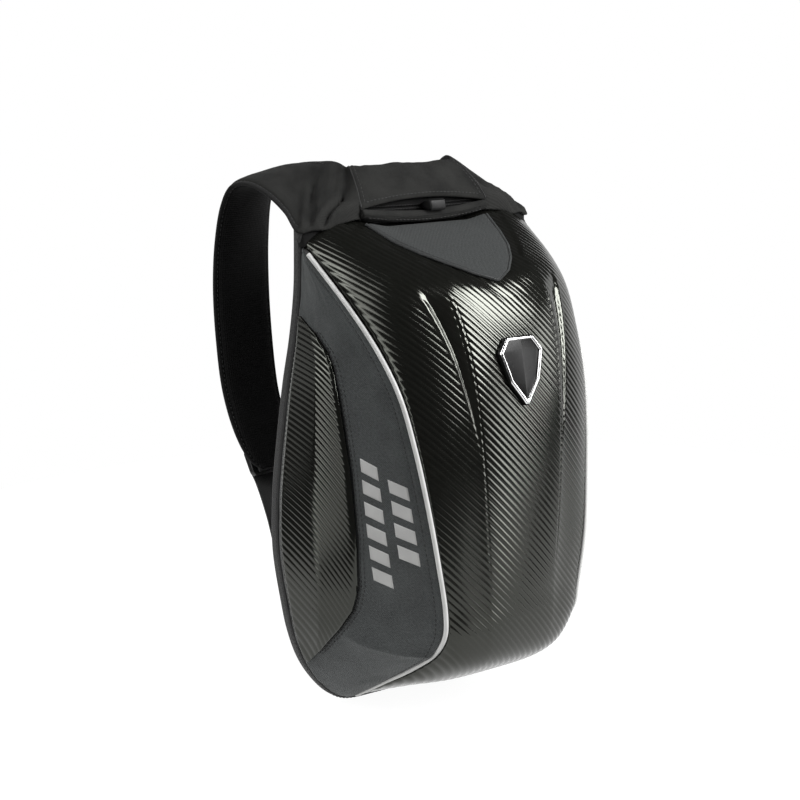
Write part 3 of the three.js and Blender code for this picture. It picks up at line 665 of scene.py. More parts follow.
def plain(name, base, roughness, spec=0.5, metallic=0.0, grain=0.05, grain_size=0.8, tint=(1, 1, 1)):
    """Moulded or coated surface with a fine grain and slightly uneven gloss."""
    look = Look(name, Specular_IOR_Level=spec, Metallic=metallic)
    place = look.cloth_place(by_uv=False)
    spots = look.noise(place, NOISE.plain)
    look.feed("Base Color", look.mix(spots, grey(base * 0.85, tint), grey(base * 1.15, tint)))
    look.feed("Roughness", look.range(spots, roughness - 0.06, roughness + 0.08))
    look.bump(look.noise(place, grain_size, detail=2.0), grain)
    return look.material


CARBON = carbon("carbon_ribs")
PANEL_CLOTH = woven("panel_cloth", 0.034, 1.5, heather=0.9, depth=0.35, tint=COOL, patches=0.6)
INSET_CLOTH = woven("inset_cloth", 0.02, 1.4, heather=0.9, depth=0.35, tint=COOL, sheen=0.03)
STRETCH_CLOTH = woven("stretch_cloth", 0.0072, 1.0, heather=0.8, depth=0.25, tint=(0.99, 1.0, 0.93),
                      sheen=0.01, gloss=0.2, patches=2.6)
MESH_CLOTH = mesh_cloth("air_mesh", 0.009, 2.0)
PAD_MESH = mesh_cloth("back_air_mesh", 0.03, 3.2, by_uv=False)
TAPE = woven("woven_tape", 0.020, 0.7, heather=0.2)
STRAP_EDGE = woven("strap_edge_tape", 0.008, 0.7, heather=0.3, sheen=0.02, gloss=0.15)
WEBBING_LOOK = woven("webbing_weave", 0.02, 1.3, heather=0.3, depth=0.3)
# Dark thread look; also drawn at the top inset's rim as painted shade in the groove there.
THREAD_AND_SHADE = plain("sewing_thread_and_shade", 0.006, 0.6, grain=0.1, grain_size=0.5)
REFLECTIVE = plain("reflective_coating", 0.42, 0.42, grain=0.06, grain_size=0.5, tint=COATING_TINT)
REFLECTIVE_PRINT = plain("reflective_print", 0.33, 0.55, grain=0.08, grain_size=0.5, tint=COATING_TINT)
PLASTIC = plain("buckle_plastic", 0.010, 0.3, grain=0.03)
RUBBER = plain("pull_rubber", 0.006, 0.4, spec=0.2, grain=0.05)
# Dark lining cloth; also the sheets of painted shade at the shell's corners under the straps' roots.
LINING_AND_SHADE = woven("dark_lining_and_shade", 0.004, 0.8, heather=0.3, sheen=0.02, gloss=0.1)
BADGE_GLOSS = plain("badge_gloss", 0.005, 0.25, spec=0.12, grain=0.01)
BADGE_METAL = plain("badge_metal", 0.72, 0.14, metallic=1.0, grain=0.01)


# Stitches

# Section of a stitch by share of its length: shares of its radius
STITCH_PROFILE = ((-0.5, 0.15), (-0.36, 0.8), (0, 1), (0.36, 0.8), (0.5, 0.15))
STITCH_SIDES = 6
STITCH_LOOK_AHEAD = 0.4
SEWN = {"length": 3, "gap": -0.9, "start": 0}  # threads so close that they hide a seam


def threads_along(lines, length=2.8, gap=1.3, radius=0.45, start=1.0):
    """Short threads laid along lines, each line its points and the outward directions there."""
    angle = -2 * np.pi * np.arange(STITCH_SIDES) / STITCH_SIDES
    threads = []
    for line, outward in lines:
        lengths = lengths_along(line)
        for middle in np.arange(start + length / 2, lengths[-1] - length / 2 + 0.1, length + gap):
            here = at_length(middle, lengths, line)
            along = unit(at_length(middle + STITCH_LOOK_AHEAD, lengths, line) - here)
            side = unit(np.cross(along, at_length(middle, lengths, outward)))
            turn = side[None] * np.cos(angle)[:, None] + np.cross(side, along)[None] * np.sin(angle)[:, None]
            threads.append(loft(np.array(
                [here + along * length * t + turn * radius * w for t, w in STITCH_PROFILE])))
    return joined(threads)


def seam_on(points, row_share, column_share, lift=0.05):
    """A line for stitches on a grid of points, and the outward directions along it."""
    row_share, column_share = np.broadcast_arrays(row_share, column_share)
    outward = sample(grid_normals(points), row_share, column_share)
    return sample(points, row_share, column_share) + outward * lift, outward


def both_sides(lines):
    return lines + [(line * MIRROR, outward * MIRROR) for line, outward in lines]


# Shell

RIB_SLOPE = 1.0  # how much a rib falls for each millimetre to the right
EDGE_ROLL = 1.2
EDGE_ROLL_FROM = 0.984
SHELL_SHARES = both_ways(runs(0, (0.43, 7), (0.51, 12), (0.73, 20), (1, 18)))
SHELL_BACK = (40, 25)  # rows and columns of the shell's inner face
SCOOP_FLATTENS = 0.8  # how much lower the ribs are in the groove
# Where the ribs are drawn flatter, at the centre panel's top: how much, by rib and by share across
DRAWN = Sizes(much=0.5, ribs=(1.7, 2.1, 2.4, 3.1), shares=(0.3, 0.5))


def rolled_edge(share):
    """How far an edge has turned in, near the end of its share from the middle."""
    return smooth(EDGE_ROLL_FROM, 1, np.abs(share)) ** 2


def shell_surface(down, share):
    return shell_skin(down, share * shell_stop(down), -EDGE_ROLL * rolled_edge(share))


def shell_normal(down, share):
    return normal_of(shell_form, down, share * shell_stop(down))


def shell_phase(points):
    return (points[..., 2] + RIB_SLOPE * points[..., 0]) / RIB_PITCH


def shell_rib_height(down, share):
    """Ribs end at the rolled edges and lie low in the grooves and at the centre panel's top."""
    place = np.abs(share * shell_stop(down))
    rib = down * LAST_RIB
    drawn = DRAWN.much * span(*DRAWN.ribs, rib) * (1 - smooth(*DRAWN.shares, place))
    in_groove = SCOOP_FLATTENS * scoop_smooth(rib, place)
    return RIB_HEIGHT * (1 - rolled_edge(share)) * (1 - in_groove) * (1 - drawn)


def shell():
    points, faces, uv = ribbed_skin(
        shell_surface, shell_normal, shell_phase, SHELL_SHARES, SHELL_WALL, shell_rib_height, SHELL_BACK)
    make("shell_skin", points, faces, CARBON, "carbon", "shell", uv)


# Cloth inset on top of the shell: half width by rib, and the bound strip along its edge
TOP_INSET = table("rib half", (0.16, 69), (0.6, 61), (1, 50), (1.4, 36), (1.75, 20), (1.98, 2))
TOP_CLOTH = Sizes(
    slant=0.8, puff=1.2, puffs_up=(-0.6, 1.2), strip=2.8, groove=0.7, groove_width=0.6, seam_half=0.55,
    rim=0.6, under=0.8, flat_across=110, flat_rib=42)


def top_inset():
    size = TOP_CLOTH
    rows, columns = 90, 90
    rib, turn = grid(np.linspace(*TOP_INSET.rib[[0, -1]], rows), np.linspace(-1, 1, columns))
    share = np.sin(np.pi / 2 * turn)
    half = np.interp(rib, TOP_INSET.rib, TOP_INSET.half)
    down = rib / LAST_RIB
    across = share * half / shell_half(down)
    to_edge = (1 - np.abs(share)) * half * size.slant
    groove = size.groove * bell(to_edge - size.strip, size.groove_width)
    puff = size.puff * smooth(*size.puffs_up, to_edge) - groove
    outer, inner = (shell_skin(down, across, lift, relief=False) for lift in (puff, 0 * puff - size.under))
    points, faces = wall(outer, inner)
    to_face = (to_edge[:-1, :-1] + to_edge[1:, 1:]) / 2
    looks = np.zeros(len(faces), int)
    # Dark thread look: the seam by the strip, and at the rim painted shade in the groove round the inset.
    sewn = (np.abs(to_face - size.strip) < size.seam_half) | (to_face < size.rim)
    looks[: sewn.size] = sewn.ravel()
    flat = np.stack([across * size.flat_across, rib * size.flat_rib], -1)
    make("top_inset_cloth", points, faces, [INSET_CLOTH, THREAD_AND_SHADE], "panel_cloth", "top_inset",
         wall_uv(flat), looks)


# Sides

INSET_REACH = table(
    "rib reach", (1.5, 0.05), (1.8, 0.3), (2.15, 0.425), (2.5, 0.47), (3, 0.485), (4.5, 0.53), (5.6, 0.535),
    (6.5, 0.5), (6.95, 0.45), (7.65, 0.342), (8.45, 0.183), (8.95, 0.05))
INSET_RIDGE = table("down share", (0, 0.7), (0.25, 0.6), (0.5, 0.5), (0.75, 0.52), (0.9, 0.7), (1, 0.9))
INSET = Sizes(
    rear_gap=0.012, gap=0.5, rise=5.5, front_rise=0.35, thickness=1.4, wall=0.84, pitch=5.7,
    ends=(0, 0.25, 0.78, 1), edge_from=0.94, rib_ends=(0, 0.05, 0.93, 0.99))
INSET_RIBS = Sizes(across=1.83, forward=0.235)  # how much a rib falls for each millimetre across and forward
INSET_BACK = (20, 6)
INSET_SHARES = runs(0, (0.56, 13), (0.66, 6), (1, 15))
# Bend in the cloth below the inset: its ends by rib and reach forward, and the height of a rib there
CREASE = Sizes(start=(7.9, 0.36), end=(9.1, 1.0), height=4.2, width=10, fades_in=(0.3, 0.5), rib_step=26)
STITCH_FROM_PIPING = 7.0
SIDE_SLACK = ((0.5, (22, 5), 3), (0.18, (60, 14), 4))
SLACK_FROM_SEAM = 8
# Dips in the side cloth: depth and width
SEAM_DENT, STITCH_DENT, INSET_DENT = (1.0, 2.2), (0.5, 1.2), (0.7, 3)
INSET_DENT_RIBS = (1.5, 2, 8.4, 8.9)
# Threads on the sides: shares down along the piping, ribs along the inset and gaps from the inset's edge
SIDE_STITCHES = Sizes(
    shares=(0.02, 0.97), count=400, ribs=(1.75, 8.7), inset_count=300, gaps=(2.2, 5.4), seam_gap=0.5,
    seam_radius=0.6)


def inset_reach(rib):
    return np.interp(rib, INSET_REACH.rib, INSET_REACH.reach)


def gusset_relief(down, forward):
    """Soft shape of the side cloth: dips at its seams, a bend below the inset and slack in between."""
    rib = down * LAST_RIB
    (rib_from, forward_from), (rib_to, forward_to) = CREASE.start, CREASE.end
    along = np.clip((forward - forward_from) / (forward_to - forward_from), 0, 1)
    off_line = np.abs(rib - lerp(rib_from, rib_to, along)) * CREASE.rib_step
    bend = CREASE.height * np.exp(-off_line / CREASE.width) * smooth(*CREASE.fades_in, forward)
    to_seam = (side_stop(down) - forward) * side_depth(down)
    to_inset = (forward - inset_reach(rib)) * side_depth(down)
    dents = INSET_DENT[0] * bell(to_inset, INSET_DENT[1]) * span(*INSET_DENT_RIBS, rib)
    for (depth, width), place in ((SEAM_DENT, 0), (STITCH_DENT, STITCH_FROM_PIPING)):
        dents = dents + depth * bell(to_seam - place, width)
    return bend + slack(down.shape, SIDE_SLACK) * smooth(0, SLACK_FROM_SEAM, to_seam) - dents


def gussets():
    rows, columns = 230, 70
    down, share = grid(np.linspace(0, 1, rows), np.linspace(0, 1, columns))
    forward = share * side_stop(down)
    lift = gusset_relief(down, forward)
    outer, inner = (side_skin(down, forward, lift - depth) for depth in (0, CLOTH_WALL))
    inner[..., 1] = np.minimum(inner[..., 1], -REAR_DEPTH)
    uv = wall_uv(outer[..., 1:] * (-1, 1))
    make_pair("gusset", *wall(outer, inner), PANEL_CLOTH, "panel_cloth", "side_panel", uv=uv)
    return outer


def inset_place(down, share):
    rib = lerp(*INSET_REACH.rib[[0, -1]], down)
    return rib / LAST_RIB, lerp(INSET.rear_gap, inset_reach(rib), share)


def inset_rise(down, share):
    """Moulded facets: one rises from the rear edge to a ridge, one falls from there to the front edge."""
    ridge = np.interp(down, INSET_RIDGE.down, INSET_RIDGE.share)
    facets = np.minimum(share / ridge, lerp(1, INSET.front_rise, (share - ridge) / (1 - ridge)))
    edge = 1 - smooth(INSET.edge_from, 1, share) ** 2
    return INSET.gap + INSET.thickness * edge + INSET.rise * span(*INSET.ends, down) * facets


def inset_surface(down, share):
    return side_skin(*inset_place(down, share), inset_rise(down, share))


def inset_normal(down, share):
    return normal_of(side_form, *inset_place(down, share))


def inset_phase(points):
    across, forward = INSET_RIBS.across * points[..., 0], INSET_RIBS.forward * points[..., 1]
    return (points[..., 2] + across - forward) / INSET.pitch


def inset_rib_height(down, share):
    return RIB_HEIGHT * span(*INSET.rib_ends, share)


def side_insets():
    points, faces, uv = ribbed_skin(
        inset_surface, inset_normal, inset_phase, INSET_SHARES, INSET.wall, inset_rib_height, INSET_BACK)
    make_pair("inset_skin", points, faces, CARBON, "carbon", "side_inset", uv=uv)


def side_seams(outer):
    """Lines of stitches on the sides: beside the piping and twice along the inset's front edge."""
    size = SIDE_STITCHES
    shares = np.linspace(*size.shares, size.count)
    lines = [seam_on(outer, shares, 1 - STITCH_FROM_PIPING / (side_depth(shares) * side_stop(shares)))]
    rib = np.linspace(*size.ribs, size.inset_count)
    down = rib / LAST_RIB
    *beside, edge = (
        seam_on(outer, down, (inset_reach(rib) + gap / side_depth(down)) / side_stop(down))
        for gap in (*size.gaps, size.seam_gap))
    make("inset_seams", *threads_along(both_sides([edge]), radius=size.seam_radius, **SEWN), THREAD_AND_SHADE, "trim")
    return both_sides(lines + beside)


# Plain slanted bars of reflective print on the side cloth: each column's count, first rib and reach forward
BAR_COLUMNS = ((6, 4.28, (0.60, 0.715)), (4, 4.62, (0.775, 0.895)))
BAR = Sizes(step=0.38, ribs=0.24, slant=0.14, thickness=0.25, edge_thickness=0.1, sunk=0.2, steps=9)


def bar(outer, first_rib, reach):
    """One bar, which follows the grid of the cloth under it. Its front end is lower by the slant."""
    count = BAR.steps
    down, forward = grid(np.linspace(0, 1, count), np.linspace(0, 1, count))
    rib = first_rib + BAR.ribs * down + BAR.slant * (forward - 0.5)
    row = (rib / LAST_RIB).ravel()
    column = lerp(*reach, forward).ravel() / side_stop(row)
    grids = outer, grid_normals(outer)
    place, out = (sample(values, row, column).reshape(count, count, 3) for values in grids)
    thick = np.full((count, count), BAR.edge_thickness)
    thick[1:-1, 1:-1] = BAR.thickness
    return wall(place + out * thick[..., None], place - out * BAR.sunk)


def bars(outer):
    shapes = []
    for count, first, reach in BAR_COLUMNS:
        shapes += [bar(outer, first + BAR.step * k, reach) for k in range(count)]
    make_pair("reflective_bars", *joined(shapes), REFLECTIVE_PRINT, "reflective")


# Piping

PIPING = Sizes(radius=2, end=0.55, taper=0.006, coated_from=0.004, sides=14, steps=300)


def tube(points, radius, sides, up):
    """Rings of a round tube along points; up is a direction that isn't along it."""
    along = unit(np.gradient(points, axis=0))
    side = unit(np.cross(along, up))
    out = np.cross(side, along)
    angle = 2 * np.pi * np.arange(sides) / sides
    ring = side[:, None] * np.cos(angle)[None, :, None] - out[:, None] * np.sin(angle)[None, :, None]
    return points[:, None] + ring * np.reshape(radius, (-1, 1, 1))


def piping():
    """Reflective piping, with a dark end under the strap's root."""
    sides = PIPING.sides
    share = np.linspace(0, 1, PIPING.steps)
    ends = smooth(0, PIPING.taper, np.minimum(share, 1 - share))
    radius = PIPING.radius * lerp(PIPING.end, 1, ends)
    points, faces = loft(tube(seam_line(share), radius, sides, np.array([-1.0, 0, 0])))
    # The end under the strap's root and the first cap are drawn dark, in the thread look.
    dark = np.concatenate([share[:-1] < PIPING.coated_from, [True, False]])
    make_pair("piping", points, faces, [REFLECTIVE, THREAD_AND_SHADE], "reflective", "reflective_piping",
              looks_of_faces=np.repeat(dark, sides))


# Back edge and back panel

EDGE_SAMPLES = 3000
BOTTOM = Sizes(half=45, sag=2)  # of the back edge below the last rib
BINDING = Sizes(
    inner=-3.6, outer=1.4, rear=2.6, front=12.2, top_height=423, power=0.5, sides=24, steps=460, length=1250,
    round_step=1.2, seam_sunk=0.1, seam_forward=2.6)
PAD_TOP = table("x height", (121, 402), (113, 417), (98, 427), (76, 436), (45, 444), (0, 447))
PAD_RINGS = table("depth inset", (1.2, 10), (2.2, 4.5), (4.5, 0.4), (9.2, 0.4), (11.4, 3.4))
PAD = Sizes(edge_top=413, edge_steps=140, inset=4.6, below_top=6, seam=14, seam_steps=500)
SWELL = Sizes(voxel=5.0, cap=2.6, pressure=4, quality=5, frames=20)  # the cap is the furthest push
BOARD = Sizes(out=3.4, depth=(8.2, 9.6))  # dark facing behind the pad, out to the tape
RAY_FROM = 0.05  # metres behind the pad
SEAM_LIFT = 0.1


def forward_by(depth):
    return np.array([0, -depth, 0])


def back_edge(top_height, count):
    """Left half of the back edge from the top down, then the right half up again."""
    top = spot(-RIBS.rear_x[0], 0, top_height)
    left = np.concatenate([top[None], spot(-RIBS.rear_x, 0, RIBS.rear_height)])
    low = spot(BOTTOM.half * np.array([-1, 0, 1]), 0, RIBS.rear_height[-1] - BOTTOM.sag)
    line = curve(np.concatenate([left, low, (left * MIRROR)[::-1]]))
    return evenly(line(np.linspace(0, 1, EDGE_SAMPLES)), count)


def to_the_right(along):
    """Directions in the plane of the back that turn right from those, as seen by someone facing the shell."""
    return unit(np.stack([along[:, 2], 0 * along[:, 0], -along[:, 0]], -1))


def outward_of(line):
    return to_the_right(np.gradient(line, axis=0))


def superellipse(count, half_width, half_height, power):
    angle = -2 * np.pi * (np.arange(count) + 0.5) / count
    turn = np.stack([np.cos(angle), np.sin(angle)], -1)
    return np.sign(turn) * np.abs(turn) ** power * (half_width, half_height)


def binding():
    size = BINDING
    line = back_edge(size.top_height, size.steps)
    outward = outward_of(line)
    middle, depth = (size.inner + size.outer) / 2, (size.front + size.rear) / 2
    section = superellipse(size.sides, size.outer - middle, (size.front - size.rear) / 2, size.power)
    rings = line[:, None] + outward[:, None] * (middle + section[None, :, :1])
    rings = rings + forward_by(1) * (depth + section[None, :, 1:])
    along = np.repeat(np.linspace(0, size.length, len(line)), size.sides)
    round_it = np.tile(np.arange(size.sides) * size.round_step, len(line))
    uv = loft_uv(np.stack([round_it, along], -1))
    make("edge_binding_tape", *loft(rings[:, ::-1]), TAPE, "trim", "edge_binding", uv)
    return [(line + outward * (size.outer - size.seam_sunk) + forward_by(depth + size.seam_forward), outward)]


def pad_outline():
    edge = back_edge(PAD.edge_top, PAD.edge_steps)
    edge = edge - outward_of(edge) * PAD.inset
    edge = edge[edge[:, 2] < PAD_TOP.height[0] - ORIGIN_HEIGHT - PAD.below_top]
    right = spot(PAD_TOP.x, 0, PAD_TOP.height)
    return np.concatenate([edge, right, (right[:-1] * MIRROR)[::-1]])


def back_pad():
    """Padded panel on the wearer's back: swollen by a cloth simulation, then sewn along its edge."""
    ring = pad_outline()
    inward = -to_the_right(np.roll(ring, -1, 0) - np.roll(ring, 1, 0))
    places = zip(PAD_RINGS.depth, PAD_RINGS.inset)
    rings = [ring + inward * inset + forward_by(depth) for depth, inset in places]
    pad = make("back_pad", *loft(np.array(rings)), PAD_MESH, "mesh_cloth", "back_panel")
    board = [ring - inward * BOARD.out + forward_by(depth) for depth in BOARD.depth]
    make("back_board", *loft(np.array(board)), LINING_AND_SHADE, "trim")
    swell(pad)
    seam = ring + inward * PAD.seam
    return [onto_back(pad, evenly(np.append(seam, seam[:1], 0), PAD.seam_steps))]


def onto_back(piece, line):
    """A line of points moved along Y onto the rear face of a piece, and the outward directions there."""
    places, outward = [], []
    for x, _, z in line * MM:
        hit, place, normal, _ = piece.ray_cast((x, RAY_FROM, z), (0, -1, 0))
        places.append(place if hit else (x, 0, z))
        outward.append(normal if hit else (0, 1, 0))
    return np.array(places) / MM - forward_by(SEAM_LIFT), np.array(outward)


def swell(piece):
    """Fill a soft piece: remesh it, press its cloth outwards and keep each point within the cap."""
    remesh = piece.modifiers.new("remesh", "REMESH")
    remesh.mode = "VOXEL"
    remesh.voxel_size = SWELL.voxel * MM
    remesh.use_smooth_shade = True
    apply_modifiers(piece)
    rest = np.array([v.co for v in piece.data.vertices])
    cloth = piece.modifiers.new("cloth", "CLOTH")
    cloth.settings.use_pressure = True
    cloth.settings.uniform_pressure_force = SWELL.pressure
    cloth.settings.effector_weights.gravity = 0
    cloth.settings.quality = SWELL.quality
    for step in range(1, SWELL.frames + 1):
        bpy.context.scene.frame_set(step)
    apply_modifiers(piece)
    bpy.context.scene.frame_set(1)
    push = np.array([v.co for v in piece.data.vertices]) - rest
    far = np.linalg.norm(push, axis=-1, keepdims=True)
    moved = rest + push * np.minimum(1, SWELL.cap * MM / np.maximum(far, 1e-9))
    piece.data.vertices.foreach_set("co", moved.astype(np.float32).ravel())
    piece.modifiers.new("finer", "SUBSURF").levels = 1
    apply_modifiers(piece)
    piece.data.polygons.foreach_set("use_smooth", np.full(len(piece.data.polygons), True))


# Yoke

YOKE_ROWS = table(
    "half depth height arch_depth arch_height",
    (70.6, 23.5, 437.5, -2.5, 6.5),
    (67, 13, 452.5, 0, 2.5),
    (62.4, 0.5, 465, 0, 1),
    (59.3, -8, 470.5, 0, 0),
    (58.2, -13.2, 467, 0, 0),
    (58, -12.4, 456, 0, 0),
    (58.5, -7.6, 444, 0, 0),
    (60, -3.8, 434, 0, 0),
)
YOKE_LAST = len(YOKE_ROWS.half) - 1
YOKE = Sizes(wall=3, half=62, flat_half=64, length=105, strap_rows=3.6, strap_at=-0.995)
YOKE_SLACK = ((0.9, (5, 7), 11), (0.3, (16, 20), 12))
YOKE_CREASE = Sizes(from_front=24, slant=6, height=0.8, width=4)
SLACK_FROM_EDGE = 14
SEAM_DIP = 0.9  # how deep a sewn seam lies in the cloth
YOKE_DENTS = Sizes(side=1.4, front=1.6, front_depth=1.2)
# Threads on the yoke, in shares: along its sides and its front, and in the seams to the straps
YOKE_STITCHES = Sizes(side=0.035, down=(0.02, 0.98), front=0.965, across=(0.04, 0.96), count=60)
YOKE_SEAM = Sizes(side=0.004, down=(0.3, 1), lift=0.3, radius=0.55)

yoke_values = {name: value_curve(column) for name, column in vars(YOKE_ROWS).items()}


def yoke_form(down, right):
    value = {name: line(1 - down) for name, line in yoke_values.items()}
    arch = 1 - right * right
    depth = value["depth"] + value["arch_depth"] * arch
    return spot(value["half"] * right, depth, value["height"] + value["arch_height"] * arch)


def yoke_side(across, lift):
    """Left edge of the yoke, from the strap's edge on the arm's side (-1) to that on the neck's (1)."""
    down = 1 - YOKE.strap_rows * (across + 1) / 2 / YOKE_LAST
    return raised(yoke_form, down, np.full_like(down, YOKE.strap_at), lift)


def yoke():
    rows, columns = 90, 120
    down, right = grid(np.linspace(0, 1, rows), np.linspace(-1, 1, columns))
    to_side, to_front = (1 - np.abs(right)) * YOKE.half, (1 - down) * YOKE.length
    off_crease = np.abs(to_front - YOKE_CREASE.from_front - YOKE_CREASE.slant * right)
    crease = YOKE_CREASE.height * np.exp(-off_crease / YOKE_CREASE.width)
    loose = smooth(0, SLACK_FROM_EDGE, np.minimum(to_side, to_front))
    dents = SEAM_DIP * bell(to_side, YOKE_DENTS.side)
    dents = dents + YOKE_DENTS.front_depth * bell(to_front, YOKE_DENTS.front)
    lift = (slack(down.shape, YOKE_SLACK) + crease) * loose - dents
    outer, inner = (raised(yoke_form, down, right, height) for height in (lift, -YOKE.wall))
    uv = wall_uv(np.stack([right * YOKE.flat_half, down * YOKE.length], -1))
    cloth = make("yoke_cloth", *wall(outer, inner), STRETCH_CLOTH, "stretch_cloth", "yoke_panel", uv)
    return yoke_seams(outer)


def yoke_seams(outer):
    """Sews the yoke to the straps, and gives the lines of stitches along its sides and its front."""
    size, seam = YOKE_STITCHES, YOKE_SEAM
    seam_down = np.linspace(*seam.down, size.count)
    edges = [seam_on(outer, seam_down, place, seam.lift) for place in (seam.side, 1 - seam.side)]
    make("yoke_seams", *threads_along(edges, radius=seam.radius, **SEWN), THREAD_AND_SHADE, "trim")
    down = np.linspace(*size.down, size.count)
    lines = [seam_on(outer, down, place) for place in (size.side, 1 - size.side)]
    return [*lines, seam_on(outer, size.front, np.linspace(*size.across, size.count))]


# Shoulder straps

STRAP = table(
    "arm_x arm_depth arm_height neck_x neck_depth neck_height thick arm_drop neck_drop",
    (70.9, 22.5, 437.2, 59.2, -12, 469, 5, 0, 0),
    (88, 20.5, 432.5, 60, -20, 472, 6, -2, -1),
    (108, 18, 426.5, 61, -28, 473, 7, -2, 3),
    (128.5, 13, 420.5, 62, -38, 472.5, 8, 1, 10),
    (131.5, -2, 436, 63.5, -52, 471.5, 9, 10, 17),
    (133.5, -25, 449.5, 65.5, -68, 469, 10, 17, 22),
    (136, -52, 456.5, 67.5, -84, 463.5, 10, 22, 23),
    (137.5, -70, 452.5, 69, -96, 453, 10, 21, 20),
    (138, -82, 437, 70.5, -103, 437, 10, 16, 16),
    (138, -92, 405, 71, -107, 405, 10, 8, 8),
    (138, -96, 365, 71, -107.5, 365, 10, 2, 2),
    (138, -93, 320, 71, -104, 320, 10, 0, 0),
    (138, -84, 275, 71.5, -96, 275, 10, 0, 0),
    (136, -69, 240, 73.5, -82, 241, 9.5, 0, 0),
    (129, -59.5, 219, 80, -71, 219, 8.5, 0, 0),
    (118, -56, 209, 92, -62, 209, 7, 0, 0),
)
STRAP_LAST = len(STRAP.thick) - 1
STRAP_STEPS = 230
STRAP_ACROSS = both_ways(
    np.array([0, 0.2, 0.4, 0.55, 0.68, 0.77, 0.82, 0.845, 0.86, 0.875, 0.9, 0.93, 0.96, 0.985, 1]))
# Section by share of the half width: where the tape and the round end start, the tape's thickness, powers
STRAP_SECTION = Sizes(tape=0.86, thin=0.34, end=0.93, pad_power=5, root_power=8)
STRAP_SLACK = ((0.35, (34, 4), 21), (0.12, (110, 10), 23))
# The root by row: where its plain cloth gives way to the padded strap, and where it leaves the yoke's seam
ROOT = Sizes(ends=(2.6, 3.6), from_seam=(0, 0.9), seam_width=0.07, untaped_to=3, soft=0.12, pad_soft=0.5)
UNDER_SLACK = 0.3  # share of the slack on the inner face
SKIRT = Sizes(rows=(1.6, 2.6), across=(0.78, 1), down=0.006, lift=0.5, last=0.995)  # cloth below the root
CORNER = Sizes(from_row=1.7, to_row=3.05, from_share=0.8, tuck=0.08, wall=1.5, behind=(-2, 6, 0))
STRAP_STITCHES = Sizes(shares=(0.2, 0.99), count=400, across=0.9, lift=0.05)
FOLD_SPREAD = np.array([20.0, 28.0])  # millimetres for a row and for a half width at the root
# Folds at the strap's root: the line of each by row and place across, its height and its width
ROOT_FOLDS = [
    (((3.6, 0.1), (3.15, -0.45), (2.85, -0.9)), 2.6, 4.0),
    (((3.05, 0.1), (2.6, -0.5), (2.45, -0.9)), -3.0, 4.5),
    (((0.3, 0.8), (0.55, 0.2), (0.9, -0.3)), -3.4, 5.0),
    (((0.95, -0.38), (1.5, -0.7), (2.0, -0.95)), -4.6, 2.2),
    (((1.25, -0.3), (1.8, -0.6), (2.3, -0.85)), 2.4, 3.5),
    (((0.25, -0.85), (1.0, -0.85), (1.7, -0.97)), 2.4, 6.0),
    (((1.9, 0.5), (2.2, -0.2)), 1.8, 12.0),
]
FOLDS_FROM = (0, 0.25)

strap_thick = value_curve(STRAP.thick)


def fold_heights(row, across):
    """Height of the folds where the strap's cloth is gathered into the yoke."""
    here = np.stack([row, across], -1) * FOLD_SPREAD
    height = 0
    for line, tall, width in ROOT_FOLDS:
        near = np.full(row.shape, np.inf)
        places = np.array(line) * FOLD_SPREAD
        for start, way in zip(places, np.diff(places, axis=0)):
            share = np.clip(np.sum((here - start) * way, -1) / np.sum(way * way), 0, 1)
            near = np.minimum(near, np.linalg.norm(here - start - share[..., None] * way, axis=-1))
        height = height + tall * bell(near, width)
    return height * smooth(*FOLDS_FROM, row)


def strap_section(across):
    """Share of the half thickness: full in the padded middle, thin in the taped edge, round at the end."""
    size = STRAP_SECTION
    share = np.abs(across)
    pad = np.sqrt(np.clip(1 - (share / size.tape) ** size.pad_power, 0, 1))
    past = np.clip(share - size.end, 0, None) / (1 - size.end)
    return lerp(size.thin, 1, pad) * np.sqrt(np.clip(1 - past**2, 0, 1))


def strap_edges(lower):
    """Curves of the strap's edges on the arm's and the neck's side."""
    arm_height = STRAP.arm_height - lower * STRAP.arm_drop
    neck_height = STRAP.neck_height - lower * STRAP.neck_drop
    arm = spot(-STRAP.arm_x, STRAP.arm_depth, arm_height)
    return curve(arm), curve(spot(-STRAP.neck_x, STRAP.neck_depth, neck_height))


def skirt(arm, row):
    """How far the cloth below the strap's root is drawn down to the shell."""
    down = np.full(len(arm), SKIRT.down)
    across = np.clip(arm[:, 0] / shell_half(down), -SKIRT.last, SKIRT.last)
    hem = shell_skin(down, across, SKIRT.lift, relief=False)
    share = (1 - smooth(*SKIRT.rows, row)) * smooth(*SKIRT.across, -STRAP_ACROSS)
    return share[..., None] * (hem - arm)[:, None]


def strap_faces(arm, neck, lower):
    """Grids of points of the outer and the inner face of the left strap, between its edges."""
    across = STRAP_ACROSS
    share = np.linspace(0, 1, STRAP_STEPS)
    middle, half = (arm + neck) / 2, (neck - arm) / 2
    outward = unit(np.cross(half, np.gradient(middle, axis=0)))[:, None]
    row = share[:, None] * STRAP_LAST + 0 * across
    root = 1 - smooth(*ROOT.ends, row)
    root_section = np.sqrt(1 - np.abs(across) ** STRAP_SECTION.root_power)
    height = lerp(strap_section(across), root_section, root) * strap_thick(share)[:, None] / 2
    pad_soft = smooth(0, ROOT.pad_soft, STRAP_SECTION.tape - np.abs(across))
    soft = lerp(pad_soft, smooth(0, ROOT.soft, 1 - np.abs(across)), root)
    loose = slack(row.shape, STRAP_SLACK, lower)
    rise = (loose + fold_heights(row, across + 0 * row)) * soft
    base = middle[:, None] + half[:, None] * across[None, :, None]
    top = base + outward * (height + rise)[..., None]
    under = base - outward * (height + UNDER_SLACK * loose * soft)[..., None]
    from_seam = smooth(*ROOT.from_seam, row)[..., None]
    dip = outward * (SEAM_DIP * bell(row, ROOT.seam_width))[..., None]
    top = lerp(yoke_side(across, 0), top, from_seam) - dip
    under = lerp(yoke_side(across, -YOKE.wall), under, from_seam)
    return top + skirt(arm, row), under + skirt(arm, row)


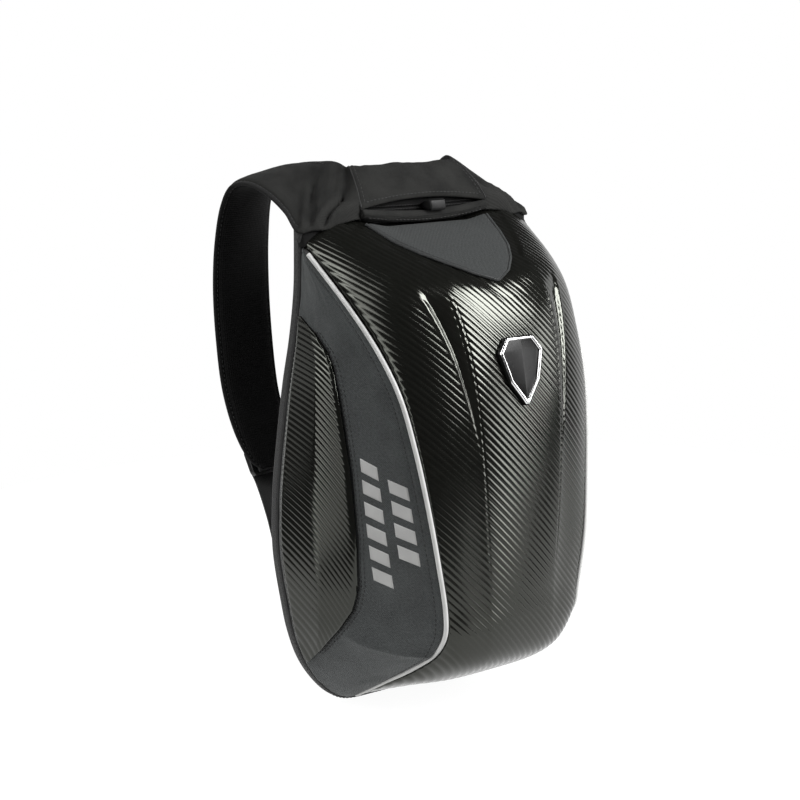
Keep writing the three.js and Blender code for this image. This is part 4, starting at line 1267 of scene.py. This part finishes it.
def strap_looks(places):
    """Look of each face: cloth outside (0), mesh inside (1), tape round the edge (2) but not at the root."""
    between = (np.abs(places) + np.abs(np.roll(places, -1))) / 2
    ring = np.where(between > STRAP_SECTION.tape, 2, np.repeat([1, 0], len(places) // 2))
    looks = np.tile(ring, (STRAP_STEPS - 1, 1))
    untaped = int(STRAP_STEPS * ROOT.untaped_to / STRAP_LAST)
    looks[:untaped, (places < 0) & (ring == 2)] = 0
    return np.concatenate([looks.ravel(), np.full(2 * len(places), 2)])


def strap(side, lower):
    """One padded strap, drawn on the left: cloth outside, mesh inside and tape round the edge."""
    across = STRAP_ACROSS
    arm, neck = (line(np.linspace(0, 1, STRAP_STEPS)) for line in strap_edges(lower))
    top, under = strap_faces(arm, neck, lower)
    points, faces = loft(np.concatenate([under[:, :0:-1], top[:, :-1]], 1))
    places = np.concatenate([across[:0:-1], across[:-1]])
    reach, lengths = np.linalg.norm(neck - arm, axis=-1) / 2, lengths_along((arm + neck) / 2)
    flat = np.stack([places[None] * reach[:, None], lengths[:, None] + 0 * places[None]], -1)
    if side == "right":
        points, faces = mirrored(points, faces)
        top, under = top * MIRROR, under * MIRROR
    pad = make(f"strap_pad_{side}", points, faces, [STRETCH_CLOTH, MESH_CLOTH, STRAP_EDGE], "stretch_cloth",
               f"shoulder_strap_{side}", loft_uv(flat), strap_looks(places))
    return strap_seams(top, under, 1 if side == "right" else -1)


def strap_seams(top, under, way):
    """Lines of stitches on the taped edges of a strap, on both of its faces."""
    size = STRAP_STITCHES
    lines = []
    for place in (-size.across, size.across):
        column = np.interp(place, STRAP_ACROSS, np.linspace(0, 1, len(STRAP_ACROSS)))
        for face, face_way in ((top, way), (under, -way)):
            line, outward = seam_on(face, np.linspace(*size.shares, size.count), column, 0)
            lines.append((line + outward * face_way * size.lift, outward * face_way))
    return lines


def corner_shade_sheet(side, lower):
    """Plain dark sheet from the shell's corner up under the strap's root: painted shade in place of the ribs.
    """
    rows, columns = 60, 60
    arm_line, neck_line = strap_edges(lower)
    along, up = np.linspace(0, 1, columns), np.linspace(1, 0, rows)
    row = lerp(CORNER.from_row, CORNER.to_row, along) / STRAP_LAST
    high = lerp(arm_line(row), neck_line(row), CORNER.tuck)
    low = shell_skin(np.zeros(columns), -lerp(CORNER.from_share, 1, along) * shell_stop(0))
    sheet = lerp(low[None], high[None], up[:, None, None])[:, ::-1]
    sheet = np.concatenate([sheet[:, :1] + CORNER.behind, sheet], 1)
    points, faces = wall(sheet, sheet - grid_normals(sheet) * CORNER.wall)
    if side == "right":
        points, faces = mirrored(points, faces)
    make(f"corner_shade_sheet_{side}", points, faces, LINING_AND_SHADE, "trim", uv=points[:, [0, 2]])


# Buckles and webbing

BUCKLE = Sizes(width=47, height=25, thick=5, corner=5, bevel=0.9, bar=3.4, sharp_from=50)
BUCKLE_SLOT = {"width": 40.6, "height": 6, "corner": 1.2, "corner_steps": 4}
BUCKLE_PLACE = Sizes(x=-98, depth=-77, height=212.5, lean=25, yaw=13)
WEBBING = Sizes(
    width=38, thick=1.8, turn_radius=5, tail=10, under=16, power=0.28, sides=20, steps=190,
    turns_straight=(0.62, 0.85))
WEBBING_TURN = (-90, -55, -20, 20, 55, 90)  # degrees round the buckle's bar
WEBBING_RUN = table(
    "x depth height", (-109.5, -39, 171), (-112, -24, 149), (-114, -10, 134), (-115.5, -2.4, 121),
    (-116, -1.5, 106), (-116, -1.5, 92))


def turned(points):
    """Points of a flat piece, drawn in x and up, placed on the strap's end."""
    place = BUCKLE_PLACE
    matrix = Matrix.Translation(spot(place.x, place.depth, place.height).tolist())
    matrix = matrix @ Matrix.Rotation(np.radians(180 + place.yaw), 4, "Z")
    matrix = matrix @ Matrix.Rotation(np.radians(90 + place.lean), 4, "X")
    return np.asarray(points, float) @ np.array(matrix.to_3x3()).T + np.array(matrix.translation)


def rounded_box(width, height, corner, middle=0.0, corner_steps=8):
    """Outline of a rectangle with round corners, its middle that far above zero."""
    arcs = []
    for quarter, (x, y) in enumerate(((1, 1), (-1, 1), (-1, -1), (1, -1))):
        angle = np.linspace(0, np.pi / 2, corner_steps) + quarter * np.pi / 2
        centre = x * (width / 2 - corner), middle + y * (height / 2 - corner)
        arcs.append(np.stack([np.cos(angle), np.sin(angle)], -1) * corner + centre)
    return np.concatenate(arcs)


def plate(outlines, thick, bevel):
    """Points and faces of a flat plate with round edges; outlines after the first are holes."""
    data = bpy.data.curves.new("plate", "CURVE")
    data.dimensions = "2D"
    data.fill_mode = "BOTH"
    data.extrude = thick / 2 - bevel
    data.bevel_depth = bevel
    data.bevel_resolution = 3
    data.offset = -bevel
    for outline in outlines:
        line = data.splines.new("POLY")
        line.points.add(len(outline) - 1)
        for point, (x, y) in zip(line.points, outline):
            point.co = (x, y, 0, 1)
        line.use_cyclic_u = True
    drawn = added("plate", data)
    bpy.context.view_layer.update()
    mesh = bpy.data.meshes.new_from_object(drawn.evaluated_get(bpy.context.evaluated_depsgraph_get()))
    bpy.data.objects.remove(drawn)
    work = bmesh.new()
    work.from_mesh(mesh)
    bmesh.ops.remove_doubles(work, verts=work.verts, dist=0.01)
    bmesh.ops.recalc_face_normals(work, faces=work.faces)
    points = np.array([v.co for v in work.verts])
    faces = [tuple(v.index for v in f.verts) for f in work.faces]
    work.free()
    return points, faces


def buckles():
    size = BUCKLE
    slot_middle = (BUCKLE_SLOT["height"] + size.bar) / 2
    slots = [rounded_box(**BUCKLE_SLOT, middle=side * slot_middle) for side in (-1, 1)]
    edge = rounded_box(size.width, size.height, size.corner)
    points, faces = plate([edge, *slots], size.thick, size.bevel)
    for piece in make_pair("buckle", turned(points), faces, PLASTIC, "buckle_plastic", "ladder_buckle"):
        split_edges(piece, size.sharp_from)


def webbing():
    """Webbing that turns round the buckle's bar and runs down to the back panel."""
    size = WEBBING
    radius, tail, under = size.turn_radius, size.tail, size.under
    angle = np.radians(WEBBING_TURN)
    turn = radius * np.stack([np.cos(angle), np.sin(angle)], -1)
    in_buckle = [(-tail, -radius), (-tail / 2, -radius), *turn, (-under / 2, radius), (-under, radius - 1)]
    run = spot(WEBBING_RUN.x, WEBBING_RUN.depth, WEBBING_RUN.height)
    route = curve(np.concatenate([turned([(0, up, out) for up, out in in_buckle]), run]))
    share = np.linspace(0, 1, size.steps)
    line = route(share)
    yaw = np.radians(BUCKLE_PLACE.yaw) * (1 - smooth(*size.turns_straight, share))
    side = np.stack([np.cos(yaw), np.sin(yaw), 0 * yaw], -1)
    out = unit(np.cross(side, np.gradient(line, axis=0)))
    section = superellipse(size.sides, size.width / 2, size.thick / 2, size.power)[::-1]
    rings = line[:, None] + side[:, None] * section[None, :, :1] + out[:, None] * section[None, :, 1:]
    flat = np.stack([np.tile(section[:, 0], len(line)), np.repeat(lengths_along(line), size.sides)], -1)
    make_pair("webbing_tape", *loft(rings), WEBBING_LOOK, "trim", "webbing", uv=loft_uv(flat))


# Zip

ZIP_FLAP = Sizes(
    half=69.5, depth=21.5, mid_height=427.4, end_height=433, radius=4.8, forward=4.6, thin_end=0.75,
    end_power=6, steps=120, sides=28, flat_turn=4)
ZIP_WRINKLE = ((0.05, (14, 3), 31),)
ZIP_SEAM = Sizes(forward=0.8, below=0.55, ends=4, outward=(0, -0.75, -0.6))
ZIP_TAPE = Sizes(
    half=68, low_depth=16.6, low_height=425, low_rise=5, high_depth=14.4, high_height=446, thick=1.2,
    steps=60, rows=8, flat_width=20)
ZIP_TEETH = Sizes(
    pitch=1.7, height=437, sag=1.5, radius=0.75, half_length=1.5, over=0.4, length=2.6, out=0.3, shift=0.4,
    from_end=3)
ZIP_PULL = Sizes(x=9, width=17, bevel=1.2, sharp_from=40)
ZIP_PULL_PROFILE = table(
    "depth height", (16.6, 433.6), (21.5, 432.6), (28.5, 431.8), (29.6, 434), (28.3, 440.2), (25.5, 441.6),
    (19, 439.3), (16, 438))


def zip_lip():
    """Rolled lip of cloth below the zip's mouth, a little wrinkled."""
    size, seam = ZIP_FLAP, ZIP_SEAM
    share = np.linspace(-1, 1, size.steps)
    angle = 2 * np.pi * (np.arange(size.sides) + 0.5) / size.sides
    height = lerp(size.mid_height, size.end_height, share**2)
    wrinkle = 1 + slack((size.steps, size.sides), ZIP_WRINKLE)
    wrinkle[:, -1] = wrinkle[:, 0]
    ends = lerp(size.thin_end, 1, np.sqrt(1 - np.abs(share) ** size.end_power))[:, None] * wrinkle
    rings = spot(share[:, None] * size.half, size.depth + size.forward * ends * np.cos(angle),
                 height[:, None] + size.radius * ends * np.sin(angle))
    flat = np.stack(grid(share * size.half, angle * size.flat_turn), -1)[::-1]
    lip = make("zip_lip", *loft(rings[::-1]), STRETCH_CLOTH, "stretch_cloth", "zip_flap", loft_uv(flat))
    low_depth = size.depth + size.forward * seam.forward * ends[:, 0]
    low = spot(share * size.half, low_depth, height - size.radius * seam.below)
    low = low[seam.ends : -seam.ends]
    return [(low, np.tile(seam.outward, (len(low), 1)))]


def zip_band():
    """Zip tape behind the lip."""
    size = ZIP_TAPE
    share = np.linspace(-1, 1, size.steps)
    low = spot(share * size.half, size.low_depth, size.low_height + size.low_rise * share**2)
    high = spot(share * size.half, size.high_depth, size.high_height)
    outer = np.stack([lerp(high, low, step) for step in np.linspace(0, 1, size.rows)])
    flat = np.stack(grid(np.linspace(0, size.flat_width, size.rows), share * size.half), -1)
    shape = wall(outer, outer - forward_by(size.thick))
    make("zip_tape_cloth", *shape, LINING_AND_SHADE, "trim", "zip_tape", wall_uv(flat))


def zip_teeth():
    """Two rows of coil teeth on the zip tape."""
    tape, size = ZIP_TAPE, ZIP_TEETH
    end = tape.half - size.from_end
    x = np.arange(-end, end, size.pitch)
    down = (tape.high_height - size.height) / (tape.high_height - tape.low_height)
    depth = lerp(tape.high_depth, tape.low_depth, down) + size.out
    middle = spot(x, depth, size.height - size.sag * (1 - (x / tape.half) ** 2))
    reach = np.array([[0, 0, -1], [0, 0, 1]]) * (size.half_length + size.over)
    lines = [(place + np.array([side * size.shift, 0, side * size.half_length]) + reach,
              np.tile(forward_by(1), (2, 1))) for side in (-1, 1) for place in middle]
    make("zip_teeth", *threads_along(lines, size.length, 0, size.radius, 0), RUBBER, "buckle_plastic")


def zip_slider():
    """Moulded pull: a slider on the tape and a tab over the lip."""
    profile = np.stack([ZIP_PULL_PROFILE.depth, ZIP_PULL_PROFILE.height - ORIGIN_HEIGHT], -1)
    points, faces = plate([profile], ZIP_PULL.width, ZIP_PULL.bevel)
    points = np.stack([ZIP_PULL.x - points[:, 2], -points[:, 0], points[:, 1]], -1)
    split_edges(make("zip_slider", points, faces, RUBBER, "buckle_plastic", "zip_pull"), ZIP_PULL.sharp_from)


# Badge

BADGE_OUTLINE = table("rib half", (3.12, 15), (3.34, 24), (3.8, 16), (4.14, 1.5))
BADGE = Sizes(
    gap=0.4, thickness=3, round=0.5, round_from=0.9, ridge=1.0, ridge_half=0.75, ridge_width=8, rows=50,
    columns=41)
BADGE_RIM = Sizes(
    width=0.13, outer=0.97, thickness=1.6, middle_rib=3.52, roundness=0.7, side_steps=16, sides=9)


def badge_place(rib, x, lift):
    down = rib / LAST_RIB
    return shell_skin(down, x / shell_half(down), lift)


def badge_plate():
    """Plain glossy shield with a low ridge down its middle."""
    size = BADGE
    ribs = np.linspace(*BADGE_OUTLINE.rib[[0, -1]], size.rows)
    rib, share = grid(ribs, np.linspace(-1, 1, size.columns))
    half = np.interp(rib, BADGE_OUTLINE.rib, BADGE_OUTLINE.half)
    edge = size.round * smooth(size.round_from, 1, np.abs(share)) ** 2
    ridge = np.clip(1 - np.abs(share) / size.ridge_half, 0, 1) * smooth(0, size.ridge_width, half)
    lift = size.gap + size.thickness - edge + size.ridge * ridge
    outer, inner = (badge_place(rib, share * half, height) for height in (lift, size.gap))
    make("badge_plate", *wall(outer, inner), BADGE_GLOSS, "badge_plastic", "badge_base")


def badge_rim():
    """Bright rim round the shield."""
    size = BADGE_RIM
    right = np.array([*zip(BADGE_OUTLINE.rib, BADGE_OUTLINE.half)])
    top = right[:1] * (1, 0)
    corners = np.concatenate([top, right, right[::-1] * (1, -1), top])
    steps = np.arange((len(corners) - 1) * size.side_steps) / size.side_steps
    rib, x = at_length(steps, np.arange(len(corners)), corners).T
    middle = size.outer - size.width / 2
    low = 2 * BADGE.gap + BADGE.thickness
    rings = []
    for angle in np.linspace(0, np.pi, size.sides):
        shrink = middle + size.width / 2 * np.cos(angle)
        lift = low + size.thickness * np.sin(angle) ** size.roundness
        rings.append(badge_place(lerp(size.middle_rib, rib, shrink), x * shrink, lift))
    count = len(rib)
    last = (size.sides - 1) * count
    faces = [*sheet_faces(size.sides, count, 0, True)[:, ::-1]]
    faces += [(k, n, n + last, k + last) for k, n in zip(range(count), (np.arange(count) + 1) % count)]
    make("badge_rim", np.array(rings), faces, BADGE_METAL, "badge_rim", "badge_frame")


def pieces():
    shell()
    top_inset()
    side = gussets()
    side_insets()
    piping()
    seams = side_seams(side) + binding() + back_pad() + yoke()
    for hand, lower in (("left", 0), ("right", 1)):
        seams += strap(hand, lower)
        corner_shade_sheet(hand, lower)
    buckles()
    webbing()
    seams += zip_lip()
    zip_band()
    zip_teeth()
    zip_slider()
    badge_plate()
    badge_rim()
    bars(side)
    make("stitches", *threads_along(seams), THREAD_AND_SHADE, "trim")


pieces()


# Stage, in metres

CAMERA = Sizes(place=(-1.1095, -1.3110, 0.3679), lens=90, sensor=36, sees_to=100)
CAMERA_AXES = ((0.76604, -0.64279, 0), (0.12265, 0.14617, 0.98165), (-0.63099, -0.75198, 0.19081))
# Soft boxes: the way to each from the pack's middle, its distance, its width and height and its brightness
SOFT_BOXES = {
    "key_high": ((0.45, -0.73, 0.6), 2.2, (0.95, 1.4), 21.0),
    "key_low": ((0.67, -0.735, 0.07), 2.2, (0.72, 0.9), 8.0),
    "left_high": ((-0.7, 0.1, 0.71), 1.7, (0.9, 0.9), 5.0),
    "left": ((-0.951, -0.22, 0.216), 1.8, (0.57, 2.2), 4.0),
    "left_rear": ((-0.75, 0.66, 0.3), 2.2, (1.5, 1.0), 0.8),
    "right_wall": ((1.0, 0.25, -0.05), 2.6, (2.6, 2.0), 0.8),
    "back_wall": ((0.1, 1.0, 0.1), 2.8, (4.0, 2.4), 1.6),
}
AMBIENT = 0.05
FLOOR = Sizes(radius=0.75, middle=(0.25, 0.15), sides=96, below=0.0005, grey=0.1, glow=0.95)


def camera():
    data = bpy.data.cameras.new("camera")
    data.lens = CAMERA.lens
    data.sensor_width = CAMERA.sensor
    data.clip_end = CAMERA.sees_to
    eye = added("camera", data)
    eye.matrix_world = Matrix.Translation(CAMERA.place) @ Matrix(CAMERA_AXES).transposed().to_4x4()
    bpy.context.scene.camera = eye


def soft_boxes():
    for name, (way, distance, (width, height), brightness) in SOFT_BOXES.items():
        data = bpy.data.lights.new(name, "AREA")
        data.shape = "RECTANGLE"
        data.size, data.size_y = width, height
        data.energy = brightness * np.pi * width * height
        lamp = added(name, data)
        lamp.location = Vector(way).normalized() * distance
        lamp.rotation_euler = Vector(way).to_track_quat("Z", "Y").to_euler()


def studio():
    """White where the camera sees it, and dim as a light."""
    world = bpy.data.worlds.new("studio")
    bpy.context.scene.world = world
    world.use_nodes = True
    tree = world.node_tree
    background = tree.nodes["Background"]
    seen = tree.nodes.new("ShaderNodeLightPath").outputs["Is Camera Ray"]
    strength = tree.nodes.new("ShaderNodeMapRange")
    strength.inputs["To Min"].default_value = AMBIENT
    strength.inputs["To Max"].default_value = 1.0
    tree.links.new(seen, strength.inputs["Value"])
    background.inputs["Color"].default_value = (1, 1, 1, 1)
    tree.links.new(strength.outputs[0], background.inputs["Strength"])


def floor():
    angle = np.linspace(0, 2 * np.pi, FLOOR.sides, endpoint=False)
    x, y = (middle + FLOOR.radius * turn(angle) for middle, turn in zip(FLOOR.middle, (np.cos, np.sin)))
    ring = np.stack([x, y, np.full(FLOOR.sides, cad_box[0].z - FLOOR.below)], -1)
    mesh = bpy.data.meshes.new("floor")
    mesh.from_pydata(ring.tolist(), [], [list(range(FLOOR.sides))])
    look = Look("floor_paper", Base_Color=grey(FLOOR.grey), Roughness=0.9, Emission_Color=grey(1),
                Emission_Strength=FLOOR.glow)
    mesh.materials.append(look.material)
    ground = added("floor", mesh)


camera()
soft_boxes()
studio()
floor()
bpy.context.scene.view_settings.view_transform = "Standard"
